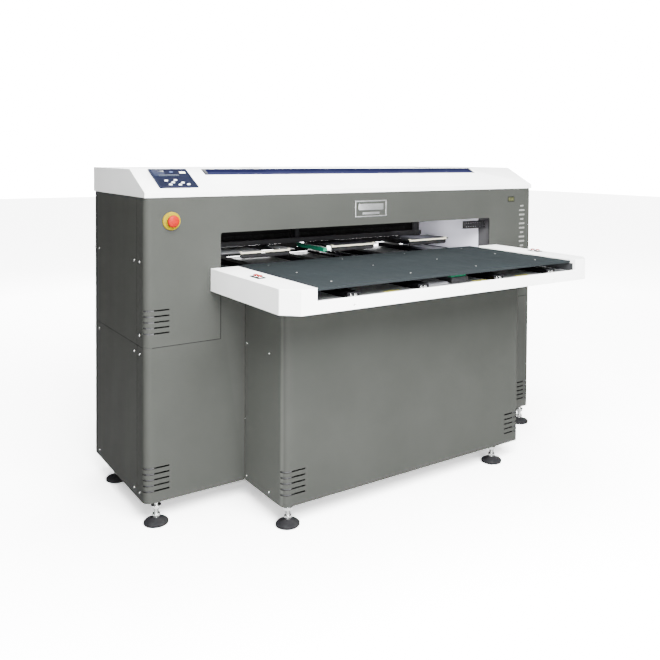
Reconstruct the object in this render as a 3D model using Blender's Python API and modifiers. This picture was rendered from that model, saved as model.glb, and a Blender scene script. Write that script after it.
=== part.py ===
"""Flatbed garment printer: cabinet, sliding platen table, print gantry, controls.

Units are metres, +Z is up and the loading side faces -Y.  Heights are measured
from the floor.  Depths are measured from the front face of the main cabinet
and every piece hangs from one datum empty, which puts the middle of the whole
machine's footprint at the origin.
"""

import math

import bmesh
import bpy
from mathutils import Vector

# ---------------------------------------------------------------- dimensions
GAP = 0.0004                 # clearance left between touching pieces
SHEET = 0.003                # panel thickness
CORNER = 0.025               # outer radius of the bent vertical corners

CAB_HALF = 0.900             # half width of the main cabinet
CAB_DEPTH = 0.570
CAB_FLOOR = 0.075
CAB_TOP = 1.075
SEAM_Z = 0.586               # joint between upper and lower panels
WRAP = 0.075                 # how far a corner sheet runs along the side

LIP_Z = 1.093                # top of the short front lip of the white cover
COVER_TOP = 1.167
FOLD_Y = 0.150               # where the slope meets the flat top
SLOPE = math.atan2(COVER_TOP - LIP_Z, FOLD_Y)

BASE_HALF = 0.542
BASE_FRONT = -0.276
BASE_TOP = 0.7535

SLOT_HALF = 0.635
SLOT_TOP = 0.950
REAR_SLOT_HALF = 0.600
REAR_SLOT_TOP = 0.860

TRAY_HALF = 0.673
TRAY_FRONT = -0.527
TRAY_FLOOR = 0.754
TRAY_TOP = 0.831
TRAY_BAR_TOP = 0.792
TRAY_ARM = 0.102
TRAY_BAR = 0.012
TRAY_CHAMFER = 0.048
TRAY_SKIN = 0.004

BED_TOP = 0.785
BED_UNDER = TRAY_FLOOR + TRAY_SKIN + GAP
BED_TONGUE_HALF = 0.566
BED_INNER_HALF = 0.720

RAIL_OFFSETS = (-0.435, -0.160, 0.179, 0.447)
RAIL_WIDTH = 0.044
RAIL_TOP = 0.804
RAIL_FRONT = -0.512
RAIL_REAR = 0.540

TABLE_HALF = 0.566
TABLE_FRONT = -0.505
TABLE_REAR = 0.050
TABLE_TOP = 0.826
TABLE_UNDER = 0.818

TABLE_BELT_X = 0.036
TABLE_BELT_FRONT = -0.432
TABLE_BELT_REAR = 0.490
PULLEY_R = 0.028
BELT_THICK = 0.002
BELT_Z = (0.789, 0.799)

BEAM_Y = (0.330, 0.410)
BEAM_Z = (0.940, 1.040)
BEAM_LEFT = -0.884
BEAM_RIGHT = 0.655
CARRIAGE_LEFT = -0.870
CARRIAGE_WIDTH = 0.240
CARRIAGE_Y = (0.135, 0.312)
CARRIAGE_Z = (0.900, 1.036)
HEAD_UNDER = 0.866
CARRIAGE_BELT_Y = 0.370
CARRIAGE_BELT_X = (-0.845, 0.620)
CARRIAGE_BELT_Z = (1.047, 1.057)

ROLLER_X = (-0.389, 0.010, 0.404)
ROLLER_LENGTH = 0.196
ROLLER_R = 0.008
ROLLER_Y = 0.145
ROLLER_Z = 0.842
GUIDE_Z = (0.8535, 0.8575)   # sheet that carries the rollers and steadies the garments
GUIDE_Y = (0.139, 0.285)
GUIDE_SPANS = ((-0.600, -0.400), (-0.322, -0.263), (-0.085, 0.130), (0.300, 0.520))

ESTOP_X = -0.811
ESTOP_Z = 0.998
BUTTON_X = (-0.628, 0.642)
BUTTON_Y = (-0.247, -0.273)

PANEL_X = (-0.841, -0.706)
PANEL_S = (0.026, 0.157)     # distance up the slope from the lip
KEYS = (
    (-0.805, 0.071), (-0.772, 0.074), (-0.785, 0.058), (-0.752, 0.055),
    (-0.799, 0.043), (-0.766, 0.041), (-0.736, 0.043),
)

LID_HALF = 0.645
LID_REAR = 0.500
WINDOW_FRONT = 0.108

FOOT_PLACES = (
    ("front_left", -0.856, 0.017), ("front_right", 0.856, 0.017),
    ("rear_left", -0.856, 0.429), ("rear_right", 0.856, 0.429),
    ("base_left", -0.505, -0.240), ("base_right", 0.425, -0.240),
)

VENT_LOW_Z = 0.1125
VENT_HIGH_Z = 0.6295
VENT_REACH = 0.083           # how far a vent runs along the front
VENT_SIDE = 0.022            # how far it runs along the side
VENT_PITCH = 0.0188
VENT_HEIGHT = 0.0048
VENT_SLOTS = 5

PAN_TOP = 0.083              # top of the chassis floor pan
WELD = 0.001                 # how far joined bars sink into each other
PAST = 0.010                 # how far a cutter runs past the face it opens
SLOT_CORNER = 0.008          # corner radius of the loading and run-out slots

DATUM_Y = -(TRAY_FRONT + CAB_DEPTH) / 2

# ------------------------------------------------------------------- finishes
FINISHES = {
    "grey_paint": ((0.24, 0.24, 0.22, 1), 0.45, 0.1),
    "white_paint": ((0.80, 0.81, 0.79, 1), 0.4, 0.1),
    "bed_aluminium": ((0.55, 0.56, 0.55, 1), 0.4, 0.9),
    "frame_paint": ((0.06, 0.06, 0.06, 1), 0.6, 0.1),
    "table_grey": ((0.09, 0.11, 0.12, 1), 0.45, 0.2),
    "rail_black": ((0.02, 0.02, 0.02, 1), 0.35, 0.6),
    "steel": ((0.50, 0.50, 0.50, 1), 0.3, 1.0),
    "black_plastic": ((0.02, 0.02, 0.02, 1), 0.5, 0.0),
    "belt_rubber": ((0.03, 0.03, 0.03, 1), 0.7, 0.0),
    "cream_rubber": ((0.72, 0.68, 0.52, 1), 0.6, 0.0),
    "green_plastic": ((0.02, 0.30, 0.14, 1), 0.4, 0.0),
    "navy_film": ((0.02, 0.03, 0.10, 1), 0.3, 0.0),
    "indigo_window": ((0.08, 0.07, 0.25, 1), 0.12, 0.0),
    "key_grey": ((0.60, 0.62, 0.62, 1), 0.5, 0.0),
    "yellow_plastic": ((0.85, 0.62, 0.02, 1), 0.45, 0.0),
    "red_plastic": ((0.62, 0.02, 0.02, 1), 0.35, 0.0),
    "foot_rubber": ((0.03, 0.03, 0.03, 1), 0.7, 0.0),
}


def clear_scene():
    """Remove whatever the file opened with."""
    for old in list(bpy.data.objects):
        bpy.data.objects.remove(old, do_unlink=True)


def new_collection(name):
    """Return a new collection linked to the scene."""
    group = bpy.data.collections.new(name)
    bpy.context.scene.collection.children.link(group)
    return group


clear_scene()
PARTS = new_collection("flatbed_garment_printer")
TOOLS = new_collection("cutting_and_joining_tools")
DATUM = bpy.data.objects.new("machine_datum", None)
DATUM.location = (0, DATUM_Y, 0)
PARTS.objects.link(DATUM)


def finish(name):
    """Return the Principled material of that name, made once."""
    found = bpy.data.materials.get(name)
    if found:
        return found
    colour, roughness, metallic = FINISHES[name]
    made = bpy.data.materials.new(name)
    made.use_nodes = True
    shader = made.node_tree.nodes["Principled BSDF"]
    shader.inputs["Base Color"].default_value = colour
    shader.inputs["Roughness"].default_value = roughness
    shader.inputs["Metallic"].default_value = metallic
    made.diffuse_color = colour
    return made


def place(name, mesh, location=(0, 0, 0), material=None, parent=None, rotation=(0, 0, 0)):
    """Link a mesh as a named part, or as a tool when it has no material."""
    obj = bpy.data.objects.new(name, mesh)
    obj.location = location
    obj.rotation_euler = rotation
    obj.parent = parent or DATUM
    if material is None:
        TOOLS.objects.link(obj)
        obj.hide_render = True
        obj.display_type = "WIRE"
    else:
        PARTS.objects.link(obj)
        mesh.materials.clear()
        mesh.materials.append(finish(material))
    return obj


def box_mesh(name, size):
    """A box of the given size about its own centre."""
    mesh = bpy.data.meshes.new(name)
    shape = bmesh.new()
    bmesh.ops.create_cube(shape, size=1)
    bmesh.ops.scale(shape, vec=size, verts=shape.verts)
    shape.to_mesh(mesh)
    shape.free()
    return mesh


def box(name, low, high, material=None, parent=None):
    """A box between two corners."""
    size = [b - a for a, b in zip(low, high)]
    centre = [(a + b) / 2 for a, b in zip(low, high)]
    return place(name, box_mesh(name, size), centre, material, parent)


def cylinder_mesh(name, radius, depth, segments=32):
    """A capped cylinder along Z about its own centre."""
    mesh = bpy.data.meshes.new(name)
    shape = bmesh.new()
    bmesh.ops.create_cone(
        shape, cap_ends=True, segments=segments, radius1=radius, radius2=radius, depth=depth
    )
    shape.to_mesh(mesh)
    shape.free()
    return mesh


TURNS = {"X": (0, math.pi / 2, 0), "Y": (math.pi / 2, 0, 0), "Z": (0, 0, 0)}


def cylinder(name, centre, radius, depth, axis="Z", material=None, parent=None, segments=32):
    """A cylinder along X, Y or Z."""
    mesh = cylinder_mesh(name, radius, depth, segments)
    return place(name, mesh, centre, material, parent, TURNS[axis])


def combine(obj, tool, operation):
    """Add an exact Boolean of the tool to the object."""
    step = obj.modifiers.new(f"{operation.lower()}_{tool.name}", "BOOLEAN")
    step.operation = operation
    step.solver = "EXACT"
    step.object = tool
    return obj


def cut(obj, tool):
    """Take the tool away from the object."""
    return combine(obj, tool, "DIFFERENCE")


def join(obj, tool):
    """Weld the tool onto the object."""
    return combine(obj, tool, "UNION")


def soften(obj, width, segments=2):
    """Round an object's sharp edges."""
    edge = obj.modifiers.new("rounded_edges", "BEVEL")
    edge.width = width
    edge.segments = segments
    edge.limit_method = "ANGLE"
    edge.angle_limit = math.radians(40)
    return obj


def baked(curve_obj, name, material, parent=None, rotation=(0, 0, 0), location=(0, 0, 0)):
    """Turn a curve object into a welded mesh part."""
    bpy.context.view_layer.update()
    graph = bpy.context.evaluated_depsgraph_get()
    mesh = bpy.data.meshes.new_from_object(curve_obj.evaluated_get(graph))
    shape = bmesh.new()
    shape.from_mesh(mesh)
    bmesh.ops.remove_doubles(shape, verts=shape.verts, dist=0.00001)
    bmesh.ops.recalc_face_normals(shape, faces=shape.faces)
    shape.to_mesh(mesh)
    shape.free()
    data = curve_obj.data
    bpy.data.objects.remove(curve_obj)
    bpy.data.curves.remove(data)
    return place(name, mesh, location, material, parent, rotation)


def flat_curve(name, points, depth, cyclic):
    """A flat curve object through 2D points, extruded to the given depth."""
    data = bpy.data.curves.new(name, "CURVE")
    data.dimensions = "2D"
    data.fill_mode = "BOTH" if cyclic else "NONE"
    data.extrude = depth / 2
    spline = data.splines.new("POLY")
    spline.points.add(len(points) - 1)
    for knot, (u, v) in zip(spline.points, points):
        knot.co = (u, v, 0, 1)
    spline.use_cyclic_u = cyclic
    curve = bpy.data.objects.new(name + "_curve", data)
    TOOLS.objects.link(curve)
    return curve


def slab(name, points, z_low, z_high, material=None, parent=None):
    """A flat XY outline filled and extruded between two heights."""
    curve = flat_curve(name, points, z_high - z_low, True)
    return baked(curve, name, material, parent, (0, 0, 0), (0, 0, (z_low + z_high) / 2))


def prism_x(name, points, half_width, material=None, centre_x=0.0):
    """A YZ outline extruded along X."""
    curve = flat_curve(name, points, 2 * half_width, True)
    turn = (math.pi / 2, 0, math.pi / 2)
    return baked(curve, name, material, None, turn, (centre_x, 0, 0))


def arc(cx, cy, radius, start, stop, steps=6):
    """Points of an arc, angles in degrees."""
    turn = math.radians(stop - start) / steps
    first = math.radians(start)
    return [
        (cx + radius * math.cos(first + turn * i), cy + radius * math.sin(first + turn * i))
        for i in range(steps + 1)
    ]


def bent_sheet(name, path, z_low, z_high, material):
    """A vertical sheet that follows a plan path along its mid line."""
    curve = flat_curve(name, path, z_high - z_low, False)
    obj = baked(curve, name, material, None, (0, 0, 0), (0, 0, (z_low + z_high) / 2))
    skin = obj.modifiers.new("sheet_thickness", "SOLIDIFY")
    skin.thickness = SHEET
    skin.offset = 0
    skin.use_even_offset = True
    return obj


MID = SHEET / 2
BEND = CORNER - MID


def corner_left():
    """Plan arc of the front left corner, from the side to the front."""
    return arc(-CAB_HALF + CORNER, CORNER, BEND, 180, 270)


def mirrored(points):
    """The same path on the other side, running the other way."""
    return [(-x, y) for x, y in reversed(points)]


def vent_cutters(name, x_inner, x_outer, y_low, y_high, z_first):
    """Slots that wrap a vertical corner, one above another."""
    x_low, x_high = sorted((x_inner, x_outer))
    slots = []
    for number in range(VENT_SLOTS):
        z = z_first + number * VENT_PITCH
        slots.append(box(f"{name}_{number}", (x_low, y_low, z), (x_high, y_high, z + VENT_HEIGHT)))
    return slots


def build_enclosure():
    """Sheet metal panels, chassis, bed, tray and cover."""
    build_chassis()
    build_bed()
    build_front_panels()
    build_base_panel()
    build_side_and_rear_panels()
    build_top_cover()
    build_tray()
    for place_name, x, y in FOOT_PLACES:
        build_foot(place_name, x, y)


def build_chassis():
    """Welded floor pan and frame that carries the bed and the cabinets."""
    inset = SHEET + GAP
    frame = box("chassis_frame", (-CAB_HALF + inset, CORNER, CAB_FLOOR),
                (CAB_HALF - inset, CAB_DEPTH - CORNER, PAN_TOP), "frame_paint")
    pan_step = 0.0005
    pan_lap = 0.010
    front_pan = box("front_pan", (-BASE_HALF + inset, BASE_FRONT + inset + CORNER, CAB_FLOOR + pan_step),
                    (BASE_HALF - inset, CORNER + pan_lap, PAN_TOP - pan_step))
    join(frame, front_pan)
    bar = 0.040
    overlap = 2 * WELD
    bed_support = BED_UNDER - GAP
    base_support = BASE_TOP - overlap
    beam_depth = 0.045
    front_row = (BASE_FRONT + 0.030, 0.500, base_support)
    middle_row = (0.040, 0.700, bed_support)
    rear_row = (CAB_DEPTH - 0.165, 0.700, bed_support)
    for row, (y, reach, top) in enumerate((front_row, middle_row, rear_row)):
        for side in (-1, 1):
            x = side * reach
            post = box(f"frame_post_{row}_{side}", (x - bar / 2, y, PAN_TOP - overlap),
                       (x + bar / 2, y + bar, top))
            join(frame, post)
        beam = box(f"frame_cross_beam_{row}", (-reach, y + overlap, BASE_TOP - beam_depth),
                   (reach, y + bar - overlap, top - overlap))
        join(frame, beam)
    build_service_shelf(frame)


def build_service_shelf(frame):
    """Shelf on a leg and a stay, under the parked carriage."""
    shelf_x = (-0.880, -0.690)
    shelf_y = (0.110, 0.330)
    shelf_z = (0.700, 0.706)
    leg_x = (-0.870, -0.830)
    leg_y = (0.200, 0.240)
    stay_x = (-0.715, -0.685)
    stay_y = (0.060, CAB_DEPTH - 0.150)
    step = 0.0012
    shelf = box("service_shelf", (shelf_x[0], shelf_y[0], shelf_z[0]),
                (shelf_x[1], shelf_y[1], shelf_z[1]))
    leg = box("service_leg", (leg_x[0], leg_y[0], PAN_TOP - 2 * WELD),
              (leg_x[1], leg_y[1], shelf_z[0] + 3 * WELD))
    stay = box("service_stay", (stay_x[0], stay_y[0], shelf_z[0] + step),
               (stay_x[1], stay_y[1], shelf_z[1] - step))
    for piece in (leg, shelf, stay):
        join(frame, piece)


def build_bed():
    """Machined bed that carries the rails, narrow in front and wide inside."""
    front = RAIL_FRONT - WELD
    inner_front = SHEET + 0.010
    rear = CAB_DEPTH - 0.022
    shaft_hole_r = 0.012
    plate_thick = BED_TOP - BED_UNDER
    bed = box("bed_plate", (-BED_INNER_HALF, inner_front, BED_UNDER),
              (BED_INNER_HALF, rear, BED_TOP), "bed_aluminium")
    join(bed, box("bed_tongue", (-BED_TONGUE_HALF, front, BED_UNDER),
                  (BED_TONGUE_HALF, inner_front + PAST, BED_TOP)))
    cut(bed, cylinder("bed_shaft_hole", (TABLE_BELT_X, TABLE_BELT_REAR, BED_TOP), shaft_hole_r,
                      4 * plate_thick))
    for number, x in enumerate(RAIL_OFFSETS, 1):
        rail = box(f"linear_rail_{number}", (x - RAIL_WIDTH / 2, RAIL_FRONT, BED_TOP + GAP),
                   (x + RAIL_WIDTH / 2, RAIL_REAR, RAIL_TOP), "rail_black")
        soften(rail, 1.5 * WELD)


def build_front_panels():
    """Upper front sheet with the loading slot, and the two lower front sheets."""
    left = [(-CAB_HALF + MID, WRAP)] + corner_left()
    path = left + mirrored(left)
    upper = bent_sheet("front_upper_panel", path, SEAM_Z + GAP, CAB_TOP, "grey_paint")
    slot = box("loading_slot", (-SLOT_HALF, -CORNER, SEAM_Z - CORNER),
               (SLOT_HALF, CORNER, SLOT_TOP))
    cut(upper, soften(slot, SLOT_CORNER, 4))
    stem_hole_r = 0.0125
    cut(upper, cylinder("estop_panel_hole", (ESTOP_X, 0, ESTOP_Z), stem_hole_r, 2 * CORNER, "Y"))
    for side, word in ((-1, "left"), (1, "right")):
        inner = side * (BASE_HALF + GAP)
        path = left + [(-BASE_HALF - GAP, MID)]
        if side > 0:
            path = mirrored(path)
        name = f"front_lower_{word}_panel"
        lower = bent_sheet(name, path, CAB_FLOOR, SEAM_Z - GAP, "grey_paint")
        strip = box(f"strip_{word}", (min(inner, side * SLOT_HALF), 0, SEAM_Z - 2 * WELD),
                    (max(inner, side * SLOT_HALF), SHEET, TRAY_FLOOR - GAP))
        join(lower, strip)
        corner = side * CAB_HALF
        for row, z in (("low", VENT_LOW_Z), ("high", VENT_HIGH_Z)):
            slots = vent_cutters(f"main_vent_{word}_{row}", corner - side * VENT_REACH,
                                 corner + side * PAST, -PAST, VENT_SIDE, z)
            for tool in slots:
                cut(lower if row == "low" else upper, tool)


def build_base_panel():
    """Narrow lower cabinet: one sheet bent round its front and sides."""
    left = [(-BASE_HALF + MID, -GAP)]
    left += arc(-BASE_HALF + CORNER, BASE_FRONT + CORNER, BEND, 180, 270)
    panel = bent_sheet("base_cabinet_panel", left + mirrored(left), CAB_FLOOR, BASE_TOP,
                       "grey_paint")
    for side, word in ((-1, "left"), (1, "right")):
        corner = side * BASE_HALF
        slots = vent_cutters(f"base_vent_{word}", corner - side * VENT_REACH,
                             corner + side * PAST, BASE_FRONT - PAST,
                             BASE_FRONT + VENT_SIDE, VENT_LOW_Z)
        for tool in slots:
            cut(panel, tool)


def build_side_and_rear_panels():
    """Two flat sides and one rear sheet with bent corners and a run-out slot."""
    rear_wrap = 0.045
    rear_start = CAB_DEPTH - rear_wrap
    for side, word in ((-1, "left"), (1, "right")):
        x_out = side * CAB_HALF
        x_in = side * (CAB_HALF - SHEET)
        low = (min(x_out, x_in), WRAP + GAP, CAB_FLOOR)
        high = (max(x_out, x_in), rear_start - GAP, CAB_TOP)
        box(f"{word}_side_panel", low, high, "grey_paint")
    left = arc(-CAB_HALF + CORNER, CAB_DEPTH - CORNER, BEND, 180, 90)
    left = [(-CAB_HALF + MID, rear_start)] + left
    rear = bent_sheet("rear_panel", left + mirrored(left), CAB_FLOOR, CAB_TOP, "grey_paint")
    slot = box("run_out_slot", (-REAR_SLOT_HALF, CAB_DEPTH - CORNER, BED_UNDER),
               (REAR_SLOT_HALF, CAB_DEPTH + CORNER, REAR_SLOT_TOP))
    cut(rear, soften(slot, SLOT_CORNER, 4))


def cover_outline(inset, floor):
    """Side outline of the white cover, moved inwards by inset."""
    lip = LIP_Z - inset * math.tan(SLOPE / 2)
    fold = FOLD_Y + inset * math.tan(SLOPE / 2)
    return [
        (inset, floor), (inset, lip), (fold, COVER_TOP - inset),
        (CAB_DEPTH - inset, COVER_TOP - inset), (CAB_DEPTH - inset, floor),
    ]


def build_top_cover():
    """White cover with its access lid, tinted window and control panel."""
    cover = prism_x("top_cover", cover_outline(0, CAB_TOP + GAP), CAB_HALF, "white_paint")
    hollow = prism_x("cover_hollow", cover_outline(SHEET, CAB_TOP - PAST), CAB_HALF - SHEET)
    cut(cover, hollow)
    front_edge = WINDOW_FRONT - WELD
    opening_low = LIP_Z + 0.027
    opening = box("lid_opening", (-LID_HALF - GAP, front_edge, opening_low),
                  (LID_HALF + GAP, LID_REAR + GAP, COVER_TOP + PAST))
    cut(cover, opening)
    hinge = bpy.data.objects.new("lid_hinge_line", None)
    hinge.location = (0, LID_REAR, COVER_TOP)
    hinge.parent = DATUM
    PARTS.objects.link(hinge)
    lid_front = FOLD_Y + GAP
    box("access_lid", (-LID_HALF, lid_front - LID_REAR, -SHEET), (LID_HALF, 0, 0),
        "white_paint", hinge)
    window_rear = FOLD_Y - SHEET * math.sin(SLOPE) - GAP
    run = (window_rear - WINDOW_FRONT) / math.cos(SLOPE)
    middle = Vector((0, (window_rear + WINDOW_FRONT) / 2, 0))
    middle.z = LIP_Z + middle.y * math.tan(SLOPE)
    normal = Vector((0, -math.sin(SLOPE), math.cos(SLOPE)))
    centre = middle - normal * (SHEET / 2) - Vector(hinge.location)
    place("window_strip", box_mesh("window_strip", (2 * LID_HALF, run, SHEET)), centre,
          "indigo_window", hinge, (SLOPE, 0, 0))
    build_control_panel()


def build_control_panel():
    """Membrane panel on the slope with its seven keys."""
    slope = bpy.data.objects.new("slope_frame", None)
    slope.location = (0, 0, LIP_Z)
    slope.rotation_euler = (SLOPE, 0, 0)
    slope.parent = DATUM
    PARTS.objects.link(slope)
    thick = 0.004
    key_depth = 0.0040
    travel_gap = 0.0016
    key_half = (0.0060, 0.0040)
    well_half = [half + 1.5 * GAP for half in key_half]
    panel = box("control_panel", (PANEL_X[0], PANEL_S[0], GAP),
                (PANEL_X[1], PANEL_S[1], GAP + thick), "navy_film", slope)
    for number, (x, s) in enumerate(KEYS, 1):
        well = place(f"key_well_{number}",
                     oval_mesh(f"key_well_{number}", *well_half, 5 * thick),
                     (x, s, GAP + thick), None, slope)
        cut(panel, well)
        place(f"panel_key_{number}", oval_mesh(f"panel_key_{number}", *key_half, key_depth),
              (x, s, GAP + travel_gap + key_depth / 2), "key_grey", slope)


def oval_mesh(name, half_long, half_short, depth):
    """An oval button blank."""
    mesh = cylinder_mesh(name, 1.0, depth, 20)
    for corner in mesh.vertices:
        corner.co.x *= half_long
        corner.co.y *= half_short
    return mesh


def build_tray():
    """White loading tray: two arms, a low front bar and a floor."""
    inner = TRAY_HALF - TRAY_ARM
    outline = [(-TRAY_HALF, -GAP), (-TRAY_HALF, TRAY_FRONT + TRAY_CHAMFER),
               (-TRAY_HALF + TRAY_CHAMFER, TRAY_FRONT)]
    floor_outline = outline + mirrored(outline)
    tray = slab("loading_tray", floor_outline, TRAY_FLOOR, TRAY_FLOOR + TRAY_SKIN, "white_paint")
    weld = 0.001
    base = TRAY_FLOOR + weld
    arm_outline = outline + [(-inner, TRAY_FRONT), (-inner, -GAP)]
    well = 0.006
    for side, word in ((-1, "left"), (1, "right")):
        points = arm_outline if side < 0 else mirrored(arm_outline)
        join(tray, slab(f"tray_arm_{word}", points, base, TRAY_TOP))
        x_far = side * (TRAY_HALF - well)
        x_near = side * (inner + well)
        hollow = box(f"arm_hollow_{word}",
                     (min(x_far, x_near), TRAY_FRONT + TRAY_CHAMFER + well, TRAY_FLOOR - 0.01),
                     (max(x_far, x_near), -well, TRAY_TOP - TRAY_SKIN))
        cut(tray, hollow)
    join(tray, box("tray_front_bar", (-inner - weld, TRAY_FRONT, base),
                   (inner + weld, TRAY_FRONT + TRAY_BAR, TRAY_BAR_TOP)))


def build_foot(word, x, y):
    """Levelling foot: rubber-faced disc, threaded stem and lock nut."""
    disc_r = 0.040
    disc_h = 0.012
    rim = 0.003
    stem_r = 0.008
    collar_r = 0.020
    collar_z = 0.020
    stem_z = 0.024
    top = CAB_FLOOR - GAP
    profile = [(0, top), (stem_r, top), (stem_r, stem_z), (collar_r, collar_z),
               (disc_r - rim, disc_h), (disc_r, disc_h - rim), (disc_r, 0), (0, 0)]
    mesh = bpy.data.meshes.new(f"foot_{word}")
    shape = bmesh.new()
    knots = [shape.verts.new((radius, 0, height)) for radius, height in profile]
    for first, second in zip(knots, knots[1:]):
        shape.edges.new((first, second))
    shape.to_mesh(mesh)
    shape.free()
    foot = place(f"foot_{word}", mesh, (x, y, 0), "foot_rubber")
    turn = foot.modifiers.new("turned", "SCREW")
    turn.steps = 28
    turn.render_steps = turn.steps
    turn.use_merge_vertices = True
    turn.merge_threshold = 0.0001
    nut_r = 0.015
    nut_thick = 0.012
    nut_z = 0.055
    nut = cylinder(f"nut_{word}", (x, y, nut_z), nut_r, nut_thick, "Z", None, None, 6)
    join(foot, nut)


def build_table():
    """Sliding platen table and the runner frame beneath it."""
    table = box("platen_table", (-TABLE_HALF, TABLE_FRONT, TABLE_UNDER),
                (TABLE_HALF, TABLE_REAR, TABLE_TOP), "table_grey")
    soften(table, 0.001, 2)
    front_overhang = 0.235
    rear_overhang = 0.020
    front = TABLE_FRONT + front_overhang
    rear = TABLE_REAR - rear_overhang
    top = TABLE_UNDER - GAP
    runner_half = RAIL_WIDTH / 2 + 0.005
    cross_half = 0.480
    cross_z = 0.8085
    cross_wide = 0.050
    cross_inset = 0.060
    front_bar_y = front + cross_inset
    rear_bar_y = rear - cross_inset - cross_wide
    frame = box("table_runner_frame", (-cross_half, front_bar_y, cross_z),
                (cross_half, front_bar_y + cross_wide, top), "steel")
    join(frame, box("rear_cross_bar", (-cross_half, rear_bar_y, cross_z),
                    (cross_half, rear_bar_y + cross_wide, top)))
    lift = 0.004
    for number, x in enumerate(RAIL_OFFSETS, 1):
        runner = box(f"runner_{number}", (x - runner_half, front, BED_TOP + lift),
                     (x + runner_half, rear, top))
        join(frame, runner)
    slack = 0.0006
    past = 0.010
    groove_half = RAIL_WIDTH / 2 + slack
    for number, x in enumerate(RAIL_OFFSETS, 1):
        cut(frame, box(f"runner_groove_{number}", (x - groove_half, front - past, BED_TOP - past),
                       (x + groove_half, rear + past, RAIL_TOP + slack)))


def belt_loop(name, radius, span_low, span_high, across, along_x):
    """Plan points of a belt run round two pulleys."""
    if along_x:
        left = arc(span_low, across, radius, 90, 270, 16)
        right = arc(span_high, across, radius, -90, 90, 16)
        return left + right
    front = arc(across, span_low, radius, 180, 360, 16)
    rear = arc(across, span_high, radius, 0, 180, 16)
    return front + rear


def build_belt(name, span, across, heights, along_x):
    """A closed flat belt round two pulleys."""
    inner = PULLEY_R + GAP
    belt = slab(name, belt_loop(name, inner + BELT_THICK, span[0], span[1], across, along_x),
                heights[0], heights[1], "belt_rubber")
    core = slab(f"{name}_core", belt_loop(name, inner, span[0], span[1], across, along_x),
                heights[0] - 0.01, heights[1] + 0.01)
    return cut(belt, core)


def build_pulley(name, x, y, heights, shaft_low=None):
    """A flanged pulley on a vertical shaft."""
    low, high = heights
    middle = (low + high) / 2
    pulley = cylinder(name, (x, y, middle), PULLEY_R, high - low, "Z", "steel", None, 40)
    if shaft_low is not None:
        shaft = cylinder(f"{name}_shaft", (x, y, (shaft_low + middle) / 2), 0.006,
                         middle - shaft_low, "Z", None, None, 20)
        join(pulley, shaft)
    return pulley


def build_table_drive():
    """Belt, pulleys, idler housing and motor that move the table."""
    span = (TABLE_BELT_FRONT, TABLE_BELT_REAR)
    shaft_low = 0.745
    build_belt("table_belt", span, TABLE_BELT_X, BELT_Z, False)
    build_pulley("table_drive_pulley", TABLE_BELT_X, TABLE_BELT_REAR, BELT_Z, shaft_low)
    build_pulley("table_idler_pulley", TABLE_BELT_X, TABLE_BELT_FRONT, BELT_Z)
    half = 0.038
    wall = 0.0035
    housing_rear = TABLE_BELT_FRONT + 0.032
    housing_top = 0.8045
    floor = 0.0016
    roof = 0.0025
    housing = box("table_idler_housing",
                  (TABLE_BELT_X - half, TABLE_BELT_FRONT - half, BED_TOP + GAP),
                  (TABLE_BELT_X + half, housing_rear, housing_top), "black_plastic")
    room = half - wall
    cut(housing, box("idler_room",
                     (TABLE_BELT_X - room, TABLE_BELT_FRONT - room, BED_TOP + GAP + floor),
                     (TABLE_BELT_X + room, housing_rear + half, housing_top - roof)))
    motor_half = 0.032
    motor_low = 0.655
    bore_r = 0.009
    bore_depth = 0.060
    motor = box("table_motor",
                (TABLE_BELT_X - motor_half, TABLE_BELT_REAR - motor_half, motor_low),
                (TABLE_BELT_X + motor_half, TABLE_BELT_REAR + motor_half, BED_UNDER - GAP),
                "black_plastic")
    cut(motor, cylinder("motor_bore", (TABLE_BELT_X, TABLE_BELT_REAR, BED_UNDER), bore_r,
                        bore_depth))
    soften(motor, 0.002, 2)


def build_gantry():
    """Portal frame, carriage, print heads and the carriage belt drive."""
    portal = box("gantry_frame", (BEAM_LEFT, BEAM_Y[0], BEAM_Z[0]),
                 (BEAM_RIGHT, BEAM_Y[1], BEAM_Z[1]), "bed_aluminium")
    side_plate = 0.010
    side_y = (0.085, 0.545)
    leg_x = (-0.715, -0.675)
    leg_y = (0.345, 0.405)
    guide_front = 0.3195
    guide_z = (0.978, 0.998)
    guide_end = BEAM_RIGHT - 0.005
    join(portal, box("gantry_side_right", (BEAM_RIGHT - WELD, side_y[0], BED_TOP + GAP),
                     (BEAM_RIGHT + side_plate, side_y[1], BEAM_Z[1] - WELD)))
    join(portal, box("gantry_leg_left", (leg_x[0], leg_y[0], BED_TOP + GAP),
                     (leg_x[1], leg_y[1], BEAM_Z[0] + WELD)))
    join(portal, box("gantry_guide", (BEAM_LEFT + WELD, guide_front, guide_z[0]),
                     (guide_end, BEAM_Y[0] + WELD, guide_z[1])))
    build_carriage(guide_z)
    build_carriage_drive()


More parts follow.
